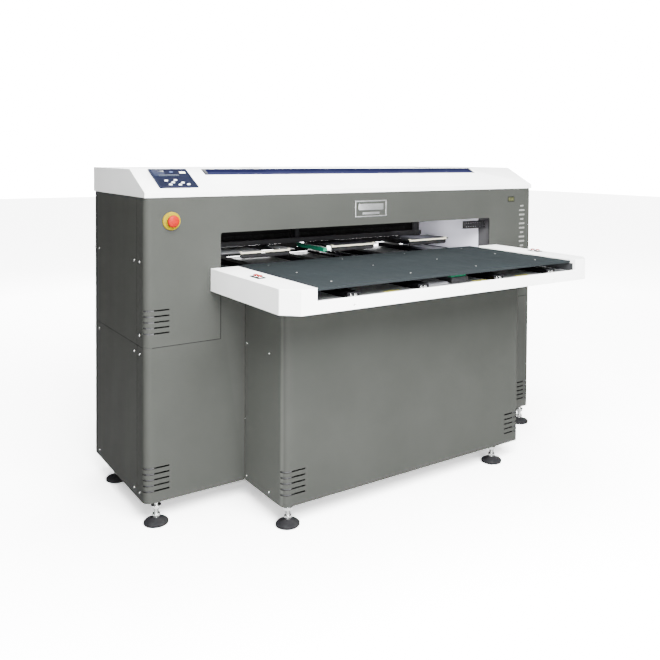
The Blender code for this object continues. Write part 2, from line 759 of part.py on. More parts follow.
def build_carriage(guide_z):
    """Carriage with its guide groove, belt arm and head block."""
    right = CARRIAGE_LEFT + CARRIAGE_WIDTH
    rear_flange = 0.014
    carriage = box("print_carriage", (CARRIAGE_LEFT, CARRIAGE_Y[0], CARRIAGE_Z[0]),
                   (right, CARRIAGE_Y[1] + rear_flange, CARRIAGE_Z[1]), "frame_paint")
    past = 0.010
    slack = 0.003
    cut(carriage, box("guide_groove", (CARRIAGE_LEFT - past, CARRIAGE_Y[1], guide_z[0] - slack),
                      (right + past, CARRIAGE_Y[1] + 2 * rear_flange, guide_z[1] + slack)))
    arm_x = CARRIAGE_LEFT + CARRIAGE_WIDTH / 2
    arm_half = 0.020
    arm_start = CARRIAGE_Y[1] - 0.050
    arm_end = CARRIAGE_BELT_Y - PULLEY_R - BELT_THICK - 3 * GAP
    arm_z = BEAM_Z[1] + 3 * GAP
    riser_half = arm_half - 2 * WELD
    riser_end = CARRIAGE_Y[1] + 0.008
    riser_lap = 0.004
    join(carriage, box("belt_arm_riser",
                       (arm_x - riser_half, arm_start + 2 * WELD, CARRIAGE_Z[1] - WELD),
                       (arm_x + riser_half, riser_end, BEAM_Z[1] + riser_lap)))
    join(carriage, box("belt_arm", (arm_x - arm_half, arm_start, arm_z),
                       (arm_x + arm_half, arm_end, CARRIAGE_BELT_Z[1])))
    inset = 0.020
    heads = box("print_head_block",
                (CARRIAGE_LEFT + inset, CARRIAGE_Y[0] + inset, HEAD_UNDER),
                (right - inset, CARRIAGE_Y[1] - inset, CARRIAGE_Z[0] - GAP), "steel")
    soften(heads, 0.002, 2)


def build_carriage_drive():
    """Carriage belt, its pulleys and the motor above the drive pulley."""
    drive_x, idler_x = CARRIAGE_BELT_X
    build_belt("carriage_belt", CARRIAGE_BELT_X, CARRIAGE_BELT_Y, CARRIAGE_BELT_Z, True)
    build_pulley("carriage_drive_pulley", drive_x, CARRIAGE_BELT_Y, CARRIAGE_BELT_Z)
    build_pulley("carriage_idler_pulley", idler_x, CARRIAGE_BELT_Y, CARRIAGE_BELT_Z)
    half = 0.036
    tall = 0.062
    low = CARRIAGE_BELT_Z[1] + 0.003
    motor = box("carriage_motor", (drive_x - half, CARRIAGE_BELT_Y - half, low),
                (drive_x + half, CARRIAGE_BELT_Y + half, low + tall), "black_plastic")
    bracket_half = 0.028
    bracket_y = (CARRIAGE_BELT_Y + 0.034, CARRIAGE_BELT_Y + 0.050)
    bracket_low = BEAM_Z[0] + 0.030
    bracket_lap = 0.020
    join(motor, box("motor_bracket", (drive_x - bracket_half, bracket_y[0], bracket_low),
                    (drive_x + bracket_half, bracket_y[1], low + bracket_lap)))
    cut(motor, box("bracket_relief", (drive_x - 2 * half, CARRIAGE_BELT_Y, BEAM_Z[0]),
                   (drive_x + 2 * half, BEAM_Y[1] + GAP, BEAM_Z[1] + GAP)))


def build_service_station():
    """Capping station that seals the heads when the carriage is parked."""
    body_x = (CARRIAGE_LEFT + 0.020, CARRIAGE_LEFT + 0.140)
    body_y = (0.155, 0.292)
    body_z = (0.7064, 0.838)
    wall = 0.008
    well_depth = 0.030
    tray_wall = 0.010
    tray_lift = 0.006
    head_gap = 0.012
    body = box("capping_station", (body_x[0], body_y[0], body_z[0]),
               (body_x[1], body_y[1], body_z[1]), "black_plastic")
    cut(body, box("cap_well", (body_x[0] + wall, body_y[0] + wall, body_z[1] - well_depth),
                  (body_x[1] - wall, body_y[1] - wall, body_z[1] + well_depth)))
    box("cap_tray",
        (body_x[0] + tray_wall, body_y[0] + tray_wall, body_z[1] - well_depth + tray_lift),
        (body_x[1] - tray_wall, body_y[1] - tray_wall, HEAD_UNDER - head_gap), "cream_rubber")


def build_rollers():
    """Guide sheets hung behind the carriage, with three free rollers at their front edge."""
    bar_x = (-0.625, 0.520)
    bar_y = (0.3285, 0.3465)
    bar_z = (GUIDE_Z[1] - WELD, 0.876)
    beam = box("roller_beam", (bar_x[0], bar_y[0], bar_z[0]), (bar_x[1], bar_y[1], bar_z[1]),
               "frame_paint")
    hanger_inset = 0.025
    hanger_half = 0.015
    hanger_y = (bar_y[0] + 4 * WELD, bar_y[1] - 2 * WELD)
    for number, x in enumerate((bar_x[0] + hanger_inset, bar_x[1] - hanger_inset), 1):
        join(beam, box(f"beam_hanger_{number}", (x - hanger_half, hanger_y[0], bar_z[1] - WELD),
                       (x + hanger_half, hanger_y[1], BEAM_Z[0] - GAP)))
    arm_half = 0.015
    for number, (x_low, x_high) in enumerate(GUIDE_SPANS):
        join(beam, box(f"guide_sheet_{number}", (x_low, GUIDE_Y[0], GUIDE_Z[0]),
                       (x_high, GUIDE_Y[1], GUIDE_Z[1])))
        x = (x_low + x_high) / 2
        join(beam, box(f"guide_arm_{number}",
                       (x - arm_half, GUIDE_Y[1] - 5 * WELD, GUIDE_Z[0] + WELD / 2),
                       (x + arm_half, bar_y[0] + 5 * WELD, GUIDE_Z[1] - WELD / 4)))
    journal = 0.003
    lug = 0.004
    lug_half = 0.0045
    strip_rear = GUIDE_Y[0] + 0.013
    strip_step = WELD / 4
    for number, x in enumerate(ROLLER_X, 1):
        reach = ROLLER_LENGTH / 2 + 1.5 * GAP
        join(beam, box(f"roller_strip_{number}",
                       (x - reach - lug, GUIDE_Y[0] + strip_step, GUIDE_Z[0] + strip_step),
                       (x + reach + lug, strip_rear, GUIDE_Z[1] - strip_step)))
        for side in (-1, 1):
            inner = x + side * reach
            outer = inner + side * (lug - strip_step)
            join(beam, box(f"roller_lug_{number}_{side}",
                           (min(inner, outer), ROLLER_Y - lug_half, ROLLER_Z - lug_half),
                           (max(inner, outer), ROLLER_Y + lug_half, GUIDE_Z[0] + 2 * WELD)))
        cut(beam, cylinder(f"journal_bore_{number}", (x, ROLLER_Y, ROLLER_Z), journal + GAP,
                           ROLLER_LENGTH + 12 * lug, "X", None, None, 24))
        roller = cylinder(f"hold_down_roller_{number}", (x, ROLLER_Y, ROLLER_Z), ROLLER_R,
                          ROLLER_LENGTH, "X", "cream_rubber")
        join(roller, cylinder(f"journal_{number}", (x, ROLLER_Y, ROLLER_Z), journal,
                              ROLLER_LENGTH + 2 * lug, "X", None, None, 24))


def build_sensor_bar():
    """Green height-sensing bar hung under the gantry beam."""
    x = -0.130
    half = 0.010
    bar_y = (0.132, 0.480)
    bar_z = (0.839, 0.853)
    hanger_y = (0.352, 0.390)
    hanger_half = half - WELD
    bar = box("sensor_bar", (x - half, bar_y[0], bar_z[0]), (x + half, bar_y[1], bar_z[1]),
              "green_plastic")
    join(bar, box("sensor_hanger", (x - hanger_half, hanger_y[0], bar_z[1] - WELD),
                  (x + hanger_half, hanger_y[1], BEAM_Z[0] - GAP)))


def build_controls():
    """Emergency stop and the two pairs of red push buttons."""
    build_emergency_stop()
    for word, x in zip(("left", "right"), BUTTON_X):
        build_button_pair(word, x)


def build_emergency_stop():
    """Yellow ring on the front sheet and the red mushroom that pushes through it."""
    ring_r = 0.030
    ring_depth = 0.008
    hole_r = 0.011
    ring_y = -GAP - ring_depth / 2
    ring = cylinder("estop_ring", (ESTOP_X, ring_y, ESTOP_Z), ring_r, ring_depth, "Y",
                    "yellow_plastic", None, 48)
    cut(ring, cylinder("estop_ring_hole", (ESTOP_X, ring_y, ESTOP_Z), hole_r, 5 * ring_depth, "Y"))
    travel = 0.005
    spare = 0.0006
    cap_r = 0.020
    cap_depth = 0.014
    cap_y = -GAP - ring_depth - travel - spare - cap_depth / 2
    cap = cylinder("estop_button", (ESTOP_X, cap_y, ESTOP_Z), cap_r, cap_depth, "Y",
                   "red_plastic", None, 40)
    soften(cap, 0.003, 3)
    stem_r = 0.010
    stem_rear = 0.012
    join(cap, cylinder("estop_stem", (ESTOP_X, (stem_rear + cap_y) / 2, ESTOP_Z), stem_r,
                       stem_rear - cap_y, "Y", None, None, 32))


def build_button_pair(word, x):
    """Thin plate on a tray arm with its two push buttons."""
    half = 0.014
    end = 0.016
    thick = 0.003
    plate_low = TRAY_TOP + GAP
    plate_high = plate_low + thick
    plate = box(f"button_plate_{word}", (x - half, min(BUTTON_Y) - end, plate_low),
                (x + half, max(BUTTON_Y) + end, plate_high), "black_plastic")
    hole_r = 0.0056
    stem_r = 0.0050
    cap_r = 0.0085
    cap_thick = 0.0040
    travel = 0.0020
    cap_low = plate_high + travel + GAP
    stem_low = TRAY_TOP + travel + 2 * GAP
    for number, y in enumerate(BUTTON_Y, 1):
        cut(plate, cylinder(f"button_hole_{word}_{number}", (x, y, plate_low), hole_r, 8 * thick))
        button = cylinder(f"red_button_{word}_{number}", (x, y, cap_low + cap_thick / 2), cap_r,
                          cap_thick, "Z", "red_plastic", None, 28)
        soften(button, 0.0012, 3)
        stem_high = cap_low + WELD
        join(button, cylinder(f"button_stem_{word}_{number}",
                              (x, y, (stem_low + stem_high) / 2), stem_r,
                              stem_high - stem_low, "Z", None, None, 24))


def main():
    """Build every sub-assembly."""
    build_enclosure()
    build_table()
    build_table_drive()
    build_gantry()
    build_service_station()
    build_rollers()
    build_sensor_bar()
    build_controls()


main()
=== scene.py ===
"""Finished model of a flatbed garment printer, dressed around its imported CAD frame.

The cabinet, tray, table and mechanism come from the frame.  This script gives each of them
a finish, adds the fittings that a person sees at arm's length and sets up the studio.
"""

import logging
import math
from dataclasses import dataclass, field
from enum import Enum
from typing import Callable, Iterable, Sequence

import bmesh
import bpy
from mathutils import Matrix, Vector


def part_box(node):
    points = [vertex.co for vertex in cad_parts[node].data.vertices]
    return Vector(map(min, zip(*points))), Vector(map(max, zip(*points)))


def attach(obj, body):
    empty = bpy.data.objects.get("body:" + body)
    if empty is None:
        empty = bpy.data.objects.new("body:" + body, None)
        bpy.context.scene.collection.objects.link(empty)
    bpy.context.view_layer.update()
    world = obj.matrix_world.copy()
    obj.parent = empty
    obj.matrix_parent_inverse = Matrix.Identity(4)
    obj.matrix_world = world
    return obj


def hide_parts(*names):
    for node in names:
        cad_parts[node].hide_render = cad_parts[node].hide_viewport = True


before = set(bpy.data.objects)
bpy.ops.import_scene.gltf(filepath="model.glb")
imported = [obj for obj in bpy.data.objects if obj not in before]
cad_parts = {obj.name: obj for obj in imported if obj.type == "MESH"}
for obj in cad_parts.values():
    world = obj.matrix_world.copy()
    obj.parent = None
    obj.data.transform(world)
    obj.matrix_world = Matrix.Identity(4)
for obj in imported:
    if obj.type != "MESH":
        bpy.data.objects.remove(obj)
LOG = logging.getLogger("garment_printer")

Colour = tuple[float, float, float]
Point2 = tuple[float, float]
Socket = bpy.types.NodeSocket
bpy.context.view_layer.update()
SHARP_ANGLE = math.radians(38)
EASED_ANGLE = math.radians(40)
SEAM_MERGE = 0.00002


class Side(Enum):
    """Left or right of the machine, seen by its operator."""

    LEFT = -1
    RIGHT = 1

    @property
    def word(self) -> str:
        """Name part for pieces on this side."""
        return self.name.lower()


class Facing(Enum):
    """Directions that a fitting's outer face can look in."""

    FRONT = (0.0, -1.0, 0.0)
    REAR = (0.0, 1.0, 0.0)
    LEFT = (-1.0, 0.0, 0.0)
    RIGHT = (1.0, 0.0, 0.0)
    UP = (0.0, 0.0, 1.0)


# --------------------------------------------------------------------------- materials
class Graph:
    """A material's shader nodes, with short calls to add and join them."""

    def __init__(self, name: str) -> None:
        """Start a material with an empty Principled surface.

        Args:
            name: The material's name.
        """
        self.material = bpy.data.materials.new(name)
        self.material.use_nodes = True
        self.tree = self.material.node_tree
        self.shader = self.tree.nodes["Principled BSDF"]

    def add(self, kind: str, **settings: object) -> bpy.types.Node:
        """Add a node and set its properties or unlinked inputs.

        Args:
            kind: The node's type name without its prefix.
            settings: Properties, or inputs written with spaces as underscores.

        Returns:
            The new node.
        """
        node = self.tree.nodes.new("ShaderNode" + kind)
        for key, value in settings.items():
            if hasattr(node, key):
                setattr(node, key, value)
            else:
                node.inputs[key.replace("_", " ")].default_value = value
        return node

    def join(self, source: Socket, target: Socket) -> None:
        """Link two sockets."""
        self.tree.links.new(source, target)

    def place(self, stretch: Sequence[float] = (1, 1, 1)) -> Socket:
        """Object coordinates, stretched along each axis.

        Args:
            stretch: Multipliers for X, Y and Z.

        Returns:
            A vector socket.
        """
        coordinates = self.add("TexCoord")
        mapping = self.add("Mapping")
        mapping.inputs["Scale"].default_value = stretch
        self.join(coordinates.outputs["Object"], mapping.inputs["Vector"])
        return mapping.outputs["Vector"]

    def noise(self, scale: float, detail: float = 3.0, roughness: float = 0.5,
              stretch: Sequence[float] = (1, 1, 1)) -> Socket:
        """Fractal noise on the object's own coordinates.

        Args:
            scale: Cells to the metre.
            detail: Octaves.
            roughness: Weight of the finer octaves.
            stretch: Multipliers for X, Y and Z.

        Returns:
            The noise value.
        """
        node = self.add("TexNoise", Scale=scale, Detail=detail, Roughness=roughness)
        self.join(self.place(stretch), node.inputs["Vector"])
        return node.outputs["Fac"]

    def ramp(self, source: Socket, low: float, high: float,
             start: float = 0.0, stop: float = 1.0) -> Socket:
        """Map a value from one range to another.

        Args:
            source: The incoming value.
            low: Where the incoming range begins.
            high: Where it ends.
            start: The value given at low.
            stop: The value given at high.

        Returns:
            The mapped value.
        """
        node = self.add("MapRange", From_Min=low, From_Max=high, To_Min=start, To_Max=stop)
        self.join(source, node.inputs["Value"])
        return node.outputs["Result"]

    def blend(self, factor: Socket, first: object, second: object) -> Socket:
        """Mix two colours, each a colour or a socket.

        Args:
            factor: Share of the second colour.
            first: Colour at zero.
            second: Colour at one.

        Returns:
            The mixed colour.
        """
        node = self.add("Mix", data_type="RGBA")
        self.join(factor, node.inputs[0])
        for slot_index, given in ((6, first), (7, second)):
            if isinstance(given, bpy.types.NodeSocket):
                self.join(given, node.inputs[slot_index])
            else:
                node.inputs[slot_index].default_value = (*given, 1.0)
        return node.outputs[2]

    def edges(self, low: float = 0.53, high: float = 0.62) -> Socket:
        """Mask of convex edges, where handling wears a surface and where the lighter colour also
        paints an edge highlight.

        Args:
            low: Pointiness where wear begins.
            high: Pointiness where it is complete.

        Returns:
            The mask.
        """
        geometry = self.add("NewGeometry")
        return self.ramp(geometry.outputs["Pointiness"], low, high)

    def relief(self, height: Socket, depth: float, strength: float = 1.0) -> None:
        """Drive the surface's normal from a height.

        Args:
            height: Height from nought to one.
            depth: What a height of one means, in metres.
            strength: How much of it shows.
        """
        bump = self.add("Bump", Strength=strength, Distance=depth)
        self.join(height, bump.inputs["Height"])
        self.join(bump.outputs["Normal"], self.shader.inputs["Normal"])

    def times(self, first: Socket, second: float) -> Socket:
        """Multiply a value by a number."""
        node = self.add("Math", operation="MULTIPLY")
        self.join(first, node.inputs[0])
        node.inputs[1].default_value = second
        return node.outputs[0]

    def inner_face_shade(self, centre: Sequence[float]) -> Socket:
        """Mask of the faces that look towards a point inside an enclosure, used to paint shade on
        those inner faces.

        Args:
            centre: The point, in the object's own frame.

        Returns:
            The mask.
        """
        coordinates = self.add("TexCoord")
        offset = self.add("VectorMath", operation="SUBTRACT")
        self.join(coordinates.outputs["Object"], offset.inputs[0])
        offset.inputs[1].default_value = centre
        facing = self.add("VectorMath", operation="DOT_PRODUCT")
        self.join(offset.outputs["Vector"], facing.inputs[0])
        self.join(coordinates.outputs["Normal"], facing.inputs[1])
        hidden = self.add("Math", operation="LESS_THAN")
        self.join(facing.outputs["Value"], hidden.inputs[0])
        hidden.inputs[1].default_value = 0.0
        return hidden.outputs[0]

    def high_up(self, low: float, high: float) -> Socket:
        """Share of the way up between two heights.

        Args:
            low: Height that gives nought.
            high: Height that gives one.

        Returns:
            The share.
        """
        split = self.add("SeparateXYZ")
        self.join(self.place(), split.inputs["Vector"])
        return self.ramp(split.outputs["Z"], low, high)


@dataclass(frozen=True)
class Finish:
    """A surface finish; each kind builds its own shader."""

    name: str
    slot: str

    def material(self) -> bpy.types.Material:
        """The finish's material, built once."""
        found = bpy.data.materials.get(self.name)
        return found if found else self.build(Graph(self.name))

    def build(self, graph: Graph) -> bpy.types.Material:
        """Fill in the shader.

        Args:
            graph: The empty material.

        Returns:
            The finished material.
        """
        raise NotImplementedError


@dataclass(frozen=True)
class PowderCoat(Finish):
    """Baked powder paint: fine orange peel, faint clouds, rubbed edges that also carry a painted
    edge highlight, optional painted shade on faces that look into an enclosure and optional painted
    light on side faces.
    """

    colour: Colour = (0.5, 0.5, 0.5)
    edge_wear_and_highlight: Colour = (0.6, 0.6, 0.6)
    gloss: float = 0.4
    peel: float = 0.00004
    sheen_spread: float = 0.05
    clear: float = 0.0
    reflection: float = 0.5
    # Point inside the enclosure; faces that look towards it are painted near black as painted
    # shade.
    lining: tuple[float, float, float] | None = None
    # Factor for faces that look along X: painted light on the side faces.
    painted_side_light: float = 1.0

    def build(self, graph: Graph) -> bpy.types.Material:
        """Fill in the shader."""
        clouds = graph.noise(3.1, 4.0, 0.55)
        streaks = graph.noise(5.0, 3.0, 0.6, (1.0, 1.0, 0.18))
        darker = tuple(c * 0.93 for c in self.colour)
        lighter = tuple(min(1.0, c * 1.05) for c in self.colour)
        body = graph.blend(graph.ramp(clouds, 0.35, 0.65), darker, lighter)
        speck = graph.ramp(graph.noise(900.0, 2.0), 0.60, 0.72, 0.0, 0.25)
        body = graph.blend(speck, body, tuple(min(1.0, c * 1.2) for c in self.colour))
        # Convex edges lightened: rubbed paint, and partly a painted edge highlight.
        body = graph.blend(graph.times(graph.edges(), 0.5), body, self.edge_wear_and_highlight)
        # Sideways faces made paler: painted light.
        if self.painted_side_light != 1.0:
            sideways = graph.add("SeparateXYZ")
            graph.join(graph.add("TexCoord").outputs["Normal"], sideways.inputs["Vector"])
            size = graph.add("Math", operation="ABSOLUTE")
            graph.join(sideways.outputs["X"], size.inputs[0])
            side_lit_colour = tuple(c * self.painted_side_light for c in self.colour)
            body = graph.blend(graph.ramp(size.outputs[0], 0.75, 0.98), body, side_lit_colour)
        # Inner faces painted near black: painted shade inside the enclosure.
        if self.lining is not None:
            body = graph.blend(graph.inner_face_shade(self.lining), body, (0.004, 0.004, 0.004))
        graph.join(body, graph.shader.inputs["Base Color"])
        graph.shader.inputs["Specular IOR Level"].default_value = self.reflection
        rough = graph.ramp(streaks, 0.3, 0.7, self.gloss - self.sheen_spread,
                           self.gloss + self.sheen_spread)
        graph.join(rough, graph.shader.inputs["Roughness"])
        graph.shader.inputs["Coat Weight"].default_value = self.clear
        graph.shader.inputs["Coat Roughness"].default_value = 0.18
        graph.relief(graph.noise(620.0, 2.0, 0.4), self.peel)
        return graph.material


@dataclass(frozen=True)
class BareMetal(Finish):
    """Milled, ground or plated metal with tool marks along one axis."""

    colour: Colour = (0.6, 0.6, 0.6)
    gloss: float = 0.3
    grain: tuple[float, float, float] = (1.0, 40.0, 40.0)
    depth: float = 0.00002
    stain: Colour = (0.4, 0.4, 0.38)

    def build(self, graph: Graph) -> bpy.types.Material:
        """Fill in the shader."""
        marks = graph.noise(18.0, 4.0, 0.6, self.grain)
        patches = graph.noise(9.0, 5.0, 0.6)
        body = graph.blend(graph.ramp(patches, 0.42, 0.75, 0.0, 0.55), self.colour, self.stain)
        # Edges made brighter: wear, and partly a painted edge highlight.
        bright = tuple(min(1.0, c * 1.25) for c in self.colour)
        body = graph.blend(graph.edges(0.52, 0.58), body, bright)
        graph.join(body, graph.shader.inputs["Base Color"])
        graph.shader.inputs["Metallic"].default_value = 1.0
        rough = graph.ramp(marks, 0.25, 0.75, self.gloss * 0.75, min(0.9, self.gloss * 1.35))
        graph.join(rough, graph.shader.inputs["Roughness"])
        graph.relief(marks, self.depth)
        return graph.material


@dataclass(frozen=True)
class TableSkin(Finish):
    """Hard-anodised platen: cloudy blue grey with rub marks from garments."""

    pale: Colour = (0.0074, 0.0100, 0.0112)
    deep: Colour = (0.0038, 0.0056, 0.0066)

    def build(self, graph: Graph) -> bpy.types.Material:
        """Fill in the shader."""
        clouds = graph.noise(4.2, 6.0, 0.62, (1.0, 1.6, 1.0))
        rubs = graph.noise(7.5, 5.0, 0.7, (1.0, 0.35, 1.0))
        body = graph.blend(graph.ramp(clouds, 0.34, 0.68), self.deep, self.pale)
        haze = graph.ramp(rubs, 0.50, 0.74, 0.0, 0.45)
        body = graph.blend(haze, body, tuple(c * 1.35 for c in self.pale))
        dust = graph.ramp(graph.noise(420.0, 2.0), 0.64, 0.70, 0.0, 0.30)
        body = graph.blend(dust, body, (0.022, 0.026, 0.028))
        # Edges lightened: wear, and partly a painted edge highlight.
        body = graph.blend(graph.edges(0.52, 0.58), body, (0.018, 0.021, 0.022))
        graph.join(body, graph.shader.inputs["Base Color"])
        graph.shader.inputs["Specular IOR Level"].default_value = 0.005
        graph.join(graph.ramp(rubs, 0.3, 0.7, 0.50, 0.70), graph.shader.inputs["Roughness"])
        graph.relief(graph.noise(700.0, 3.0, 0.6), 0.00003)
        return graph.material


@dataclass(frozen=True)
class Moulding(Finish):
    """Moulded plastic with spark-eroded texture."""

    colour: Colour = (0.1, 0.1, 0.1)
    gloss: float = 0.45
    grain: float = 0.00003
    clear: float = 0.0
    reflection: float = 0.15
    dark_above: float = 9.0

    def build(self, graph: Graph) -> bpy.types.Material:
        """Fill in the shader."""
        clouds = graph.noise(26.0, 3.0)
        darker = tuple(c * 0.85 for c in self.colour)
        body = graph.blend(graph.ramp(clouds, 0.35, 0.65), darker, self.colour)
        # Edges lightened: scuffs, and partly a painted edge highlight.
        scuff_and_edge_highlight = tuple(min(1.0, c * 1.5 + 0.02) for c in self.colour)
        body = graph.blend(graph.times(graph.edges(), 0.6), body, scuff_and_edge_highlight)
        # Near black above the height dark_above.
        dark_top_band = graph.high_up(self.dark_above, self.dark_above + 0.0005)
        body = graph.blend(dark_top_band, body, (0.006, 0.006, 0.007))
        graph.join(body, graph.shader.inputs["Base Color"])
        marks = graph.noise(60.0, 4.0, 0.7)
        graph.join(graph.ramp(marks, 0.3, 0.7, self.gloss * 0.8, self.gloss * 1.2),
                   graph.shader.inputs["Roughness"])
        graph.shader.inputs["Specular IOR Level"].default_value = self.reflection
        graph.shader.inputs["Coat Weight"].default_value = self.clear
        graph.shader.inputs["Coat Roughness"].default_value = 0.08
        graph.relief(graph.noise(1500.0, 2.0), self.grain)
        return graph.material


@dataclass(frozen=True)
class Rubber(Finish):
    """Matt rubber with bloom and dust in its low spots."""

    colour: Colour = (0.03, 0.03, 0.03)
    bloom: Colour = (0.09, 0.09, 0.085)

    def build(self, graph: Graph) -> bpy.types.Material:
        """Fill in the shader."""
        bloom = graph.ramp(graph.noise(32.0, 5.0, 0.65), 0.45, 0.75, 0.0, 0.8)
        body = graph.blend(bloom, self.colour, self.bloom)
        graph.join(body, graph.shader.inputs["Base Color"])
        graph.join(graph.ramp(graph.noise(85.0, 3.0), 0.3, 0.7, 0.62, 0.86),
                   graph.shader.inputs["Roughness"])
        graph.shader.inputs["Specular IOR Level"].default_value = 0.12
        graph.relief(graph.noise(1100.0, 3.0), 0.00005)
        return graph.material


@dataclass(frozen=True)
class TintedSheet(Finish):
    """Indigo acrylic window, hazed with fine wipe marks."""

    deep: Colour = (0.0030, 0.0036, 0.0140)
    pale: Colour = (0.0130, 0.0145, 0.0360)
    low: float = 1.148
    high: float = 1.157

    def build(self, graph: Graph) -> bpy.types.Material:
        """Fill in the shader."""
        haze = graph.noise(6.0, 5.0, 0.6, (1.0, 3.0, 3.0))
        body = graph.blend(graph.high_up(self.low, self.high), self.pale, self.deep)
        body = graph.blend(graph.ramp(haze, 0.45, 0.8, 0.0, 0.35), body, self.pale)
        graph.join(body, graph.shader.inputs["Base Color"])
        graph.join(graph.ramp(graph.noise(40.0, 4.0), 0.3, 0.7, 0.10, 0.18),
                   graph.shader.inputs["Roughness"])
        graph.shader.inputs["Specular IOR Level"].default_value = 0.004
        graph.relief(graph.noise(15.0, 2.0), 0.0001)
        return graph.material


@dataclass(frozen=True)
class PrintedFilm(Finish):
    """Polyester membrane: a dark print with a fine matt texture and finger marks."""

    colour: Colour = (0.02, 0.03, 0.10)
    pale: Colour = (0.06, 0.08, 0.16)
    gloss: float = 0.3
    reflection: float = 0.25

    def build(self, graph: Graph) -> bpy.types.Material:
        """Fill in the shader."""
        smears = graph.noise(38.0, 5.0, 0.6, (1.0, 0.5, 1.0))
        body = graph.blend(graph.ramp(smears, 0.4, 0.75), self.colour, self.pale)
        graph.join(body, graph.shader.inputs["Base Color"])
        graph.join(graph.ramp(smears, 0.3, 0.7, self.gloss * 0.8, self.gloss * 1.5),
                   graph.shader.inputs["Roughness"])
        graph.shader.inputs["Specular IOR Level"].default_value = self.reflection
        graph.relief(graph.noise(2200.0, 2.0), 0.00002)
        return graph.material


